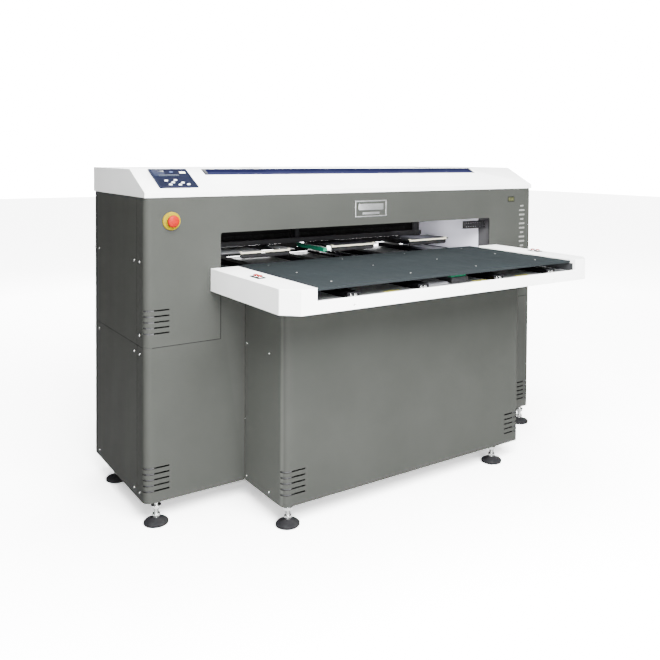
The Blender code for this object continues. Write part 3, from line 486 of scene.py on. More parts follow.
class Coat:
    """The finishes that this machine uses."""

    # The last tuple of the cabinet, base and cover coats marks the inside of their enclosure: faces
    # looking in get painted shade, near black.
    CABINET = PowderCoat("cabinet_grey_powder_coat", "grey_paint", (0.0295, 0.0310, 0.0282),
                         (0.062, 0.062, 0.058), 0.60, 0.00004, 0.05, 0.0, 0.04,
                         (0.0, 0.26, 0.60))
    # The base's sideways faces are made 2.3 times paler: painted light on its sides.
    BASE = PowderCoat("base_grey_powder_coat", "grey_paint", (0.0295, 0.0310, 0.0282),
                      (0.062, 0.062, 0.058), 0.60, 0.00004, 0.05, 0.0, 0.04,
                      (0.0, -0.10, 0.40), 2.3)
    COVER = PowderCoat("cover_white_powder_coat", "white_paint", (0.86, 0.87, 0.86),
                       (0.95, 0.95, 0.94), 0.36, 0.00003, 0.05, 0.1, 0.4, (0.0, 0.26, 0.80))
    TRAY = PowderCoat("tray_white_powder_coat", "white_paint", (0.87, 0.88, 0.87),
                      (0.95, 0.95, 0.94), 0.40, 0.00003)
    PRIMER = PowderCoat("bracket_pale_primer", "grey_paint", (0.15, 0.15, 0.16),
                        (0.22, 0.22, 0.23), 0.50, 0.00004, 0.05, 0.0, 0.1)
    PALE_SHEET = PowderCoat("pale_grey_sheet_paint", "bed_aluminium", (0.24, 0.245, 0.255),
                            (0.30, 0.30, 0.31), 0.55, 0.00004, 0.05, 0.0, 0.1)
    LINING = PowderCoat("lilac_white_lining_paint", "white_paint", (0.66, 0.65, 0.74),
                        (0.75, 0.74, 0.80), 0.40)
    RETURN = PowderCoat("slot_return_grey_paint", "grey_paint", (0.060, 0.059, 0.063),
                        (0.10, 0.10, 0.10), 0.55, 0.00004, 0.05, 0.0, 0.1)
    DARK_SHEET = PowderCoat("dark_grey_sheet_paint", "frame_paint", (0.050, 0.050, 0.060),
                            (0.08, 0.08, 0.09), 0.55, 0.00004, 0.05, 0.0, 0.05)
    CHASSIS = PowderCoat("chassis_black_paint", "frame_paint", (0.006, 0.006, 0.007),
                         (0.03, 0.03, 0.03), 0.60, 0.00006, 0.05, 0.0, 0.2)
    CARRIAGE = PowderCoat("carriage_black_paint", "frame_paint", (0.010, 0.010, 0.011),
                          (0.04, 0.04, 0.04), 0.45, 0.00004, 0.05, 0.0, 0.3)
    BED = BareMetal("milled_bed_aluminium", "bed_aluminium", (0.50, 0.51, 0.52), 0.42,
                    (1.0, 60.0, 60.0), 0.00002, (0.36, 0.37, 0.38))
    GANTRY = BareMetal("extruded_gantry_aluminium", "bed_aluminium", (0.70, 0.71, 0.71), 0.36,
                       (1.0, 50.0, 50.0), 0.00002, (0.55, 0.56, 0.56))
    TABLE = TableSkin("platen_hard_anodising", "table_grey")
    RAIL = BareMetal("ground_black_rail", "rail_black", (0.012, 0.012, 0.014), 0.34,
                     (60.0, 1.0, 60.0), 0.00001, (0.025, 0.025, 0.028))
    STEEL = BareMetal("ground_steel", "steel", (0.34, 0.34, 0.33), 0.34, (40.0, 2.0, 40.0),
                      0.00002, (0.26, 0.26, 0.25))
    ZINC = BareMetal("bright_zinc_plate", "steel", (0.72, 0.73, 0.72), 0.22, (30.0, 30.0, 4.0),
                     0.00001, (0.60, 0.61, 0.58))
    MOTOR = Moulding("motor_black_casing", "black_plastic", (0.006, 0.006, 0.007), 0.42)
    DARK_PLATE = Moulding("dark_plate", "black_plastic", (0.008, 0.008, 0.010), 0.35)
    BELT = Rubber("drive_belt_rubber", "belt_rubber", (0.008, 0.008, 0.008),
                  (0.020, 0.020, 0.020))
    CREAM = Rubber("cream_roller_rubber", "cream_rubber", (0.62, 0.59, 0.46),
                   (0.52, 0.49, 0.38))
    SENSOR = Moulding("green_sensor_casing", "green_plastic", (0.004, 0.130, 0.068), 0.45,
                      0.00002, 0.0, 0.1, 0.8533)
    BOARD = Moulding("green_board_lacquer", "green_plastic", (0.004, 0.110, 0.052), 0.35,
                     0.00003, 0.1)
    MEMBRANE = PrintedFilm("navy_membrane", "navy_film", (0.0016, 0.0026, 0.0100),
                           (0.0034, 0.0052, 0.0160), 0.34, 0.01)
    MEMBRANE_HAZE = PrintedFilm("pale_membrane_print", "navy_film", (0.008, 0.011, 0.026),
                                (0.014, 0.018, 0.036), 0.36, 0.02)
    SCREEN = PrintedFilm("display_glass", "navy_film", (0.006, 0.009, 0.017),
                         (0.009, 0.013, 0.022), 0.20, 0.03)
    CELL = PrintedFilm("display_cell", "key_grey", (0.034, 0.043, 0.062),
                       (0.026, 0.034, 0.050), 0.30, 0.03)
    PALE_PRINT = PrintedFilm("pale_print", "key_grey", (0.74, 0.76, 0.74), (0.64, 0.66, 0.66),
                             0.34)
    CREAM_PRINT = PrintedFilm("cream_print", "key_grey", (0.82, 0.80, 0.62),
                              (0.74, 0.72, 0.56), 0.34)
    BLUE_PRINT = PrintedFilm("blue_print", "navy_film", (0.008, 0.030, 0.120),
                             (0.012, 0.040, 0.140), 0.30)
    OLIVE_PRINT = PrintedFilm("olive_plate_print", "navy_film", (0.006, 0.007, 0.004),
                              (0.010, 0.012, 0.006), 0.40)
    OLIVE_LIGHT = PrintedFilm("olive_plate_panes", "key_grey", (0.040, 0.042, 0.018),
                              (0.050, 0.052, 0.024), 0.40)
    PALE_MARK = PrintedFilm("pale_side_print", "key_grey", (0.135, 0.138, 0.130),
                            (0.115, 0.118, 0.112), 0.40)
    WINDOW = TintedSheet("indigo_window_acrylic", "indigo_window")
    KEY = Moulding("key_cap_plastic", "key_grey", (0.62, 0.65, 0.66), 0.36)
    YELLOW = Moulding("safety_yellow_plastic", "yellow_plastic", (0.18, 0.132, 0.0), 0.45,
                      0.00002, 0.0, 0.02)
    RED = Moulding("signal_red_plastic", "red_plastic", (0.21, 0.006, 0.003), 0.34, 0.00001,
                   0.0, 0.06)
    # Near-black rubber: the feet's pads, and on the hold-down rollers partly painted shade.
    FOOT = Rubber("levelling_pad_rubber", "foot_rubber", (0.008, 0.008, 0.009),
                  (0.022, 0.022, 0.022))
    SEAL = Rubber("grey_felt_seal", "belt_rubber", (0.018, 0.019, 0.020), (0.026, 0.027, 0.028))
    # Near-black rubber for the real rubber pieces; on the seam strips it is painted seam shadow.
    SHADOW = Rubber("black_rubber_and_seam_shade", "belt_rubber", (0.003, 0.003, 0.003),
                    (0.006, 0.006, 0.006))
    STICKER = PrintedFilm("yellow_marker_film", "yellow_plastic", (0.34, 0.31, 0.03),
                          (0.38, 0.35, 0.06), 0.38)
    BADGE = BareMetal("brushed_badge_metal", "steel", (0.74, 0.75, 0.76), 0.30,
                      (2.0, 60.0, 60.0), 0.00001, (0.60, 0.61, 0.62))


# ------------------------------------------------------------------------- mesh makers
Maker = Callable[[bmesh.types.BMesh], None]


def shape_mesh(name: str, maker: Maker) -> bpy.types.Mesh:
    """Run a maker on an empty mesh.

    Args:
        name: The mesh's name.
        maker: Fills the mesh.

    Returns:
        The mesh, smooth shaded.
    """
    mesh = bpy.data.meshes.new(name)
    shape = bmesh.new()
    maker(shape)
    bmesh.ops.recalc_face_normals(shape, faces=shape.faces)
    for face in shape.faces:
        face.smooth = True
    shape.to_mesh(mesh)
    shape.free()
    return mesh


def add_lathe(shape: bmesh.types.BMesh, profile: Sequence[Point2], steps: int = 48,
              place: Matrix = Matrix.Identity(4)) -> None:
    """Turn a profile of radius and height about Z.

    Args:
        shape: Mesh to add to.
        profile: Points from the top of the axis down the outside and back to the axis.
        steps: Facets round the axis.
        place: Where the turned piece goes.
    """
    made = [shape.verts.new((radius, 0, height)) for radius, height in profile]
    wires = [shape.edges.new(pair) for pair in zip(made, made[1:])]
    bmesh.ops.spin(shape, geom=made + wires, cent=(0, 0, 0), axis=(0, 0, 1),
                   angle=2 * math.pi, steps=steps, use_merge=True)
    fresh = dict.fromkeys(made)
    stack = list(made)
    while stack:
        corner = stack.pop()
        for edge in corner.link_edges:
            other = edge.other_vert(corner)
            if other not in fresh:
                fresh[other] = None
                stack.append(other)
    bmesh.ops.remove_doubles(shape, verts=list(fresh), dist=1e-6)
    kept = [v for v in fresh if v.is_valid]
    bmesh.ops.transform(shape, matrix=place, verts=kept)


def add_slab(shape: bmesh.types.BMesh, outline: Sequence[Point2], low: float, high: float,
             edge: float = 0.0, place: Matrix = Matrix.Identity(4)) -> None:
    """Raise a closed outline between two heights and round its rims.

    Args:
        shape: Mesh to add to.
        outline: Points in order round the edge.
        low: Lower face.
        high: Upper face.
        edge: Radius of the rims.
        place: Where the slab goes.
    """
    own = bmesh.new()
    corners = [own.verts.new((x, y, low)) for x, y in outline]
    base = own.faces.new(corners)
    raised = bmesh.ops.extrude_face_region(own, geom=[base])
    top = [v for v in raised["geom"] if isinstance(v, bmesh.types.BMVert)]
    bmesh.ops.translate(own, vec=(0, 0, high - low), verts=top)
    if edge > 0:
        rims = [e for e in own.edges if abs(e.verts[0].co.z - e.verts[1].co.z) < 1e-9]
        bmesh.ops.bevel(own, geom=rims, offset=edge, segments=3, profile=0.5,
                        affect="EDGES", clamp_overlap=True)
    bmesh.ops.transform(own, matrix=place, verts=own.verts)
    carry = bpy.data.meshes.new("carry")
    own.to_mesh(carry)
    own.free()
    shape.from_mesh(carry)
    bpy.data.meshes.remove(carry)


def rounded_outline(width: float, height: float, radius: float, steps: int = 6) -> list[Point2]:
    """A rectangle with round corners, about its centre.

    Args:
        width: Size along X.
        height: Size along Y.
        radius: Corner radius.
        steps: Facets in each corner.

    Returns:
        The outline's points.
    """
    points = []
    for quarter, (sx, sy) in enumerate(((1, 1), (-1, 1), (-1, -1), (1, -1))):
        cx = sx * (width / 2 - radius)
        cy = sy * (height / 2 - radius)
        for step in range(steps + 1):
            angle = math.pi / 2 * (quarter + step / steps)
            points.append((cx + radius * math.cos(angle), cy + radius * math.sin(angle)))
    return points


def flat(width: float, height: float, radius: float, thick: float, edge: float) -> Maker:
    """A round-cornered plate that lies on its own plane.

    Args:
        width: Size along X.
        height: Size along Y.
        radius: Corner radius.
        thick: Thickness.
        edge: Radius of the rims.

    Returns:
        A mesh maker.
    """
    outline = rounded_outline(width, height, radius)
    return lambda shape: add_slab(shape, outline, 0, thick, edge)


def crown(radius: float, top: float, sag: float, steps: int) -> list[Point2]:
    """Profile of a crowned top, from its middle out to its rim.

    Args:
        radius: Radius at the rim.
        top: Height of the middle.
        sag: Drop from the middle to the rim.
        steps: Facets between them.

    Returns:
        Points of radius and height.
    """
    turns = [math.pi / 2 * step / steps for step in range(1, steps + 1)]
    return [(0, top)] + [(radius * math.sin(a), top - sag + sag * math.cos(a)) for a in turns]


def ring_outline(radius: float, steps: int = 32, stretch: float = 1.0) -> list[Point2]:
    """A circle or ellipse.

    Args:
        radius: Half its width.
        steps: Facets.
        stretch: Its height as a share of its width.

    Returns:
        The outline's points.
    """
    turn = 2 * math.pi / steps
    return [(radius * math.cos(turn * i), radius * stretch * math.sin(turn * i))
            for i in range(steps)]


def toothed_outline(radius: float, teeth: int, depth: float) -> list[Point2]:
    """A pulley's plan with square teeth.

    Args:
        radius: Outer radius.
        teeth: Number of teeth.
        depth: Depth of the gaps.

    Returns:
        The outline's points.
    """
    points = []
    pitch = 2 * math.pi / teeth
    for tooth in range(teeth):
        for share, r in ((0.0, radius), (0.45, radius), (0.55, radius - depth),
                         (0.92, radius - depth)):
            angle = pitch * (tooth + share)
            points.append((r * math.cos(angle), r * math.sin(angle)))
    return points


def moved(x: float, y: float, z: float) -> Matrix:
    """A shift without a turn."""
    return Matrix.Translation((x, y, z))


def face_place(spot: Vector, out: Sequence[float], up: Sequence[float] = (0, 0, 1)) -> Matrix:
    """Frame whose Z looks out of a surface and whose Y points up along it.

    Args:
        spot: Point on the surface.
        out: The surface's outward normal.
        up: Direction that Y leans towards.

    Returns:
        The frame as a matrix.
    """
    z = Vector(out).normalized()
    guide = Vector(up)
    if abs(z.dot(guide)) > 0.99:
        guide = Vector((0, 1, 0))
    x = guide.cross(z).normalized()
    y = z.cross(x)
    turn = Matrix((x, y, z)).transposed().to_4x4()
    return Matrix.Translation(spot) @ turn


@dataclass
class Fitter:
    """Puts finished pieces on the machine and keeps count of them."""

    made: list[str] = field(default_factory=list)

    def fit(self, name: str, maker: Maker, finish: Finish, body: str = "root",
            place: Matrix = Matrix.Identity(4),
            stands_for: Sequence[str] = ()) -> bpy.types.Object:
        """Make a piece, finish it and ride it on a body.

        Args:
            name: The piece's name.
            maker: Fills its mesh in the piece's own frame.
            finish: Its finish.
            body: The CAD body that it moves with.
            place: The piece's frame in the machine.
            stands_for: CAD nodes that it replaces.

        Returns:
            The piece.
        """
        piece = bpy.data.objects.new(name, shape_mesh(name, maker))
        bpy.context.scene.collection.objects.link(piece)
        piece.data.materials.append(finish.material())
        piece.matrix_world = place
        split = piece.modifiers.new("sharp_edges", "EDGE_SPLIT")
        split.split_angle = SHARP_ANGLE
        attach(piece, body)
        if stands_for:
            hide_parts(*stands_for)
        self.made.append(name)
        return piece


def dress(nodes: Sequence[str], finish: Finish, edge: float = 0.0008, segments: int = 2) -> None:
    """Finish CAD nodes and ease their edges.

    Args:
        nodes: Names of the nodes.
        finish: Their finish.
        edge: Radius of the eased edges.
        segments: Facets across an edge.
    """
    for name in nodes:
        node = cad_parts[name]
        node.data.materials.clear()
        node.data.materials.append(finish.material())
        node.data.shade_smooth()
        weld = node.modifiers.new("weld_seams", "WELD")
        weld.merge_threshold = SEAM_MERGE
        if edge > 0:
            rim = node.modifiers.new("eased_edges", "BEVEL")
            rim.width = edge
            rim.segments = segments
            rim.limit_method = "ANGLE"
            rim.angle_limit = EASED_ANGLE
            rim.use_clamp_overlap = True
            rim.harden_normals = True
        split = node.modifiers.new("sharp_edges", "EDGE_SPLIT")
        split.split_angle = SHARP_ANGLE
        level = node.modifiers.new("level_faces", "WEIGHTED_NORMAL")
        level.weight = 100
        level.keep_sharp = True


def span(node: str) -> tuple[Vector, Vector]:
    """Lowest and highest corner of a CAD node."""
    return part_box(node)


def middle(node: str) -> Vector:
    """Centre of a CAD node's box."""
    low, high = span(node)
    return (low + high) / 2


# ------------------------------------------------------------------------------ screws
def screw_maker(radius: float, height: float, socket: float,
                places: Sequence[Matrix]) -> Maker:
    """Button-head screws with a hexagon socket, at several places.

    Args:
        radius: Head radius.
        height: Head height.
        socket: Socket radius.
        places: Frame of each head, Z outwards.

    Returns:
        A mesh maker.
    """
    profile = [(0, height - socket * 0.8), (socket, height - socket * 0.8),
               (socket, height - 0.0003), (socket + 0.0004, height),
               (radius * 0.60, height * 0.97), (radius * 0.86, height * 0.72),
               (radius, height * 0.28), (radius, 0), (0, 0)]

    def make(shape: bmesh.types.BMesh) -> None:
        for place in places:
            add_lathe(shape, profile, 18, place)

    return make


def screws(fitter: Fitter, name: str, places: Sequence[Matrix], radius: float = 0.0045,
           body: str = "root", coat: Finish = Coat.ZINC) -> None:
    """Fit a row of screw heads.

    Args:
        fitter: Takes the piece.
        name: Name of the row.
        places: Frame of each head.
        radius: Head radius.
        body: The body they move with.
        coat: Their finish.
    """
    height = radius * 0.55
    fitter.fit(name, screw_maker(radius, height, radius * 0.42, places), coat, body)


# --------------------------------------------------------------------------- assemblies
@dataclass
class Cabinet:
    """Grey sheet-metal cabinets, their seams, screws, badge and rear fittings."""

    seam_width: float = 0.0026
    seam_proud: float = 0.00015
    seam_z: float = 0.586
    side_seams: tuple[float, float] = (0.075, 0.525)
    slot_half: float = 0.635
    screw_rows: tuple[float, ...] = (0.100, 0.560, 0.622, 0.864)
    screw_depths: tuple[float, ...] = (0.049, 0.102, 0.498, 0.548)
    rear_screws_x: tuple[float, ...] = (-0.84, -0.42, 0.0, 0.42, 0.84)
    rear_screws_z: tuple[float, ...] = (0.11, 0.575, 0.60, 1.045)
    badge_size: tuple[float, float] = (0.150, 0.064)
    badge_spot: tuple[float, float] = (-0.004, 1.012)
    plate_spot: tuple[float, float] = (0.768, 1.029)
    marks_spot: tuple[float, float] = (0.838, 0.907)
    inlet_spot: tuple[float, float] = (0.70, 0.20)
    grille_spot: tuple[float, float] = (-0.45, 0.33)

    def build(self, fitter: Fitter) -> None:
        """Fit everything that belongs to the cabinets.

        Args:
            fitter: Takes the pieces.
        """
        self.paint()
        self.front = span("front_upper_panel")[0].y
        self.half = span("front_upper_panel")[1].x
        self.base_front = span("base_cabinet_panel")[0].y
        self.base_half = span("base_cabinet_panel")[1].x
        self.rear = span("rear_panel")[1].y
        self.fit_seams(fitter)
        self.fit_screws(fitter)
        self.fit_badge(fitter)
        self.fit_side_marks(fitter)
        self.fit_vent_backs(fitter)
        self.fit_rear(fitter)

    def paint(self) -> None:
        """Finish the cabinet sheets and the chassis."""
        dress(("front_upper_panel", "front_lower_left_panel", "front_lower_right_panel",
               "left_side_panel", "right_side_panel", "rear_panel"), Coat.CABINET, 0.0006)
        dress(("base_cabinet_panel",), Coat.BASE, 0.0006)
        dress(("chassis_frame",), Coat.CHASSIS, 0.0015)

    def on_front(self, x: float, z: float) -> Matrix:
        """Frame on the front sheet."""
        return face_place(Vector((x, self.front, z)), Facing.FRONT.value)

    def on_rear(self, x: float, z: float) -> Matrix:
        """Frame on the rear panel."""
        return face_place(Vector((x, self.rear, z)), Facing.REAR.value)

    def strip(self, low: Sequence[float], high: Sequence[float]) -> Maker:
        """A thin dark strip between two corners, painted seam shade.

        Args:
            low: Lowest corner.
            high: Highest corner.

        Returns:
            A mesh maker.
        """
        def make(shape: bmesh.types.BMesh) -> None:
            outline = [(low[0], low[1]), (high[0], low[1]), (high[0], high[1]),
                       (low[0], high[1])]
            add_slab(shape, outline, low[2], high[2], min(high[i] - low[i] for i in range(3)) / 6)

        return make

    def fit_seams(self, fitter: Fitter) -> None:
        """Dark strips where the sheets meet: painted shade standing in for the shadow in the seam
        gaps.

        Args:
            fitter: Takes the pieces.
        """
        half_seam = self.seam_width / 2
        z_low, z_high = self.seam_z - half_seam, self.seam_z + half_seam
        bottom, top = span("left_side_panel")[0].z, span("left_side_panel")[1].z
        for side in Side:
            out = side.value * (self.half + self.seam_proud)
            within = side.value * (self.half - 0.002)
            x_low, x_high = min(out, within), max(out, within)
            for number, depth in enumerate(self.side_seams, 1):
                y = self.front + depth
                maker = self.strip((x_low, y - half_seam * 0.8, bottom + 0.002),
                                   (x_high, y + half_seam * 0.8, top - 0.001))
                fitter.fit(f"side_gasket_{side.word}_{number}", maker, Coat.SHADOW)
            maker = self.strip((x_low, self.front + 0.025, z_low),
                               (x_high, self.front + self.side_seams[1], z_high))
            fitter.fit(f"waist_gasket_{side.word}", maker, Coat.SHADOW)
            ends = sorted((side.value * (self.half - 0.025), side.value * self.slot_half))
            maker = self.strip((ends[0], self.front - self.seam_proud, z_low),
                               (ends[1], self.front + 0.002, z_high))
            fitter.fit(f"front_gasket_{side.word}", maker, Coat.SHADOW)
            x = side.value * self.slot_half
            maker = self.strip((x - half_seam, self.front - self.seam_proud, z_low),
                               (x + half_seam, self.front + 0.002,
                                span("loading_tray")[0].z - 0.001))
            fitter.fit(f"upright_gasket_{side.word}", maker, Coat.SHADOW)

    def fit_screws(self, fitter: Fitter) -> None:
        """Button-head screws along the panel edges.

        Args:
            fitter: Takes the pieces.
        """
        waist, inner = self.screw_rows[2], self.screw_depths[1:3]
        for side in Side:
            out = (side.value, 0, 0)
            x = side.value * self.half
            places = [face_place(Vector((x, self.front + depth, z)), out)
                      for depth in self.screw_depths for z in self.screw_rows
                      if not (z == waist and depth in inner)]
            screws(fitter, f"side_screws_{side.word}", places, 0.0036)
            x = side.value * self.base_half
            places = [face_place(Vector((x, self.front + depth, z)), out)
                      for depth in (-0.012, -0.177) for z in (0.094, 0.560)]
            screws(fitter, f"base_screws_{side.word}", places, 0.0036)
        places = [self.on_rear(x, z) for x in self.rear_screws_x for z in self.rear_screws_z]
        screws(fitter, "rear_panel_screws", places, 0.0048)

    def fit_badge(self, fitter: Fitter) -> None:
        """A plain framed badge and a blank plate on the front header.

        Args:
            fitter: Takes the pieces.
        """
        (width, height), bar, thick = self.badge_size, 0.0045, 0.0016
        place = self.on_front(*self.badge_spot)

        def frame_bars(shape: bmesh.types.BMesh) -> None:
            for sign in (-1, 1):
                up = moved(0, sign * (height - bar) / 2, 0)
                add_slab(shape, rounded_outline(width, bar, 0.002), 0, thick, 0.0004, up)
                across = moved(sign * (width - bar) / 2, 0, 0)
                add_slab(shape, rounded_outline(bar, height - 2 * bar, 0.001), 0, thick, 0.0004,
                         across)
            for drop, wide, tall in ((0.007, 0.118, 0.024), (-0.018, 0.080, 0.009)):
                add_slab(shape, rounded_outline(wide, tall, 0.003), 0, thick, 0.0004,
                         moved(0, drop, 0))

        fitter.fit("header_badge", frame_bars, Coat.BADGE, "root", place)
        plate = self.on_front(*self.plate_spot)
        blank = flat(0.040, 0.024, 0.002, 0.0010, 0.0003)
        fitter.fit("blank_plate", blank, Coat.OLIVE_PRINT, "root", plate)

        def panes(shape: bmesh.types.BMesh) -> None:
            for shift, wide in ((-0.0095, 0.013), (0.0075, 0.016)):
                add_slab(shape, rounded_outline(wide, 0.014, 0.001), 0.0011, 0.0014, 0.0001,
                         moved(shift, 0, 0))

        fitter.fit("blank_plate_panes", panes, Coat.OLIVE_LIGHT, "root", plate)

    def fit_side_marks(self, fitter: Fitter) -> None:
        """A plain column of pale bars beside the slot.

        Args:
            fitter: Takes the pieces.
        """
        place = self.on_front(*self.marks_spot)

        def bars(shape: bmesh.types.BMesh) -> None:
            for row in range(10):
                wide = 0.034 if row % 3 else 0.020
                up = moved(0, -0.090 + row * 0.020, 0)
                add_slab(shape, rounded_outline(wide, 0.0075, 0.0015), 0, 0.0006, 0.0001, up)

        fitter.fit("side_stripe_marks", bars, Coat.PALE_MARK, "root", place)

    def fit_vent_backs(self, fitter: Fitter) -> None:
        """Pale corner posts behind the bends, seen through the vents.

        Args:
            fitter: Takes the pieces.
        """
        inside, outside = 0.0185, 0.0200
        bend = 0.025
        bottom = span("base_cabinet_panel")[0].z + 0.012

        def quarter(radius: float, turns: Iterable[int]) -> list[Point2]:
            return [(bend - radius * math.cos(math.radians(a)),
                     bend - radius * math.sin(math.radians(a))) for a in turns]

        outline = [(bend - outside, bend + 0.004)] + quarter(outside, range(0, 91, 10))
        outline += [(bend + 0.008, bend - outside), (bend + 0.008, bend - inside)]
        outline += quarter(inside, range(90, -1, -10)) + [(bend - inside, bend + 0.004)]
        for side in Side:
            corners = ((self.half, self.front, "main", (bottom, 0.730)),
                       (self.base_half, self.base_front, "base", (bottom, 0.230)))
            for half, y, which, (low, high) in corners:
                points = [(side.value * (u - half), y + v) for u, v in outline]

                def post(shape: bmesh.types.BMesh) -> None:
                    add_slab(shape, points, low, high, 0.0002)

                fitter.fit(f"vent_post_{which}_{side.word}", post, Coat.RETURN)

    def fit_rear(self, fitter: Fitter) -> None:
        """Power inlet, switch, louvred grille and the run-out slot's curtain.

        Args:
            fitter: Takes the pieces.
        """
        def curtain(shape: bmesh.types.BMesh) -> None:
            for strip in range(50):
                spot = moved(-0.5978 + strip * 0.0244, (strip % 2) * 0.0014, 0)
                add_slab(shape, rounded_outline(0.0290, 0.0010, 0.0004), 0.829, 0.870, 0.0, spot)

        fitter.fit("run_out_curtain", curtain, Coat.SHADOW, "root", moved(0, self.rear - 0.0052, 0))
        clear = 0.0300
        rails = [middle(f"linear_rail_{rail}").x for rail in range(1, 5)]
        stops = [-0.5985] + [x + side * clear for x in rails for side in (-1, 1)] + [0.5985]

        def brush(shape: bmesh.types.BMesh) -> None:
            for left, right in zip(stops[::2], stops[1::2]):
                add_slab(shape, rounded_outline(right - left, 0.0040, 0.0010), 0.7856, 0.8070,
                         0.0004, moved((left + right) / 2, 0, 0))

        fitter.fit("run_out_brush", brush, Coat.SHADOW, "root", moved(0, self.rear - 0.0095, 0))
        inlet = self.on_rear(*self.inlet_spot)

        def surround(shape: bmesh.types.BMesh) -> None:
            add_slab(shape, rounded_outline(0.060, 0.086, 0.006), 0, 0.0035, 0.001)
            for sign in (-1, 1):
                add_slab(shape, rounded_outline(0.006, 0.022, 0.002), 0.0035, 0.0068, 0.0006,
                         moved(sign * 0.015, -0.016, 0))
            add_slab(shape, rounded_outline(0.036, 0.006, 0.002), 0.0035, 0.0068, 0.0006,
                     moved(0, -0.002, 0))
            add_slab(shape, rounded_outline(0.028, 0.005, 0.002), 0.0035, 0.0068, 0.0006,
                     moved(0, -0.029, 0))
            add_slab(shape, rounded_outline(0.026, 0.018, 0.003), 0.0035, 0.0075, 0.001,
                     moved(0, 0.022, 0))

        fitter.fit("power_inlet", surround, Coat.MOTOR, "root", inlet)
        grille = self.on_rear(*self.grille_spot)

        def louvres(shape: bmesh.types.BMesh) -> None:
            add_slab(shape, rounded_outline(0.260, 0.180, 0.008), 0, 0.0025, 0.0008)
            for row in range(9):
                tilt = Matrix.Rotation(math.radians(28), 4, "X")
                up = moved(0, -0.068 + row * 0.017, 0.0035)
                add_slab(shape, rounded_outline(0.228, 0.012, 0.002), -0.0008, 0.0008, 0.0004,
                         up @ tilt)

        fitter.fit("rear_grille", louvres, Coat.CHASSIS, "root", grille)


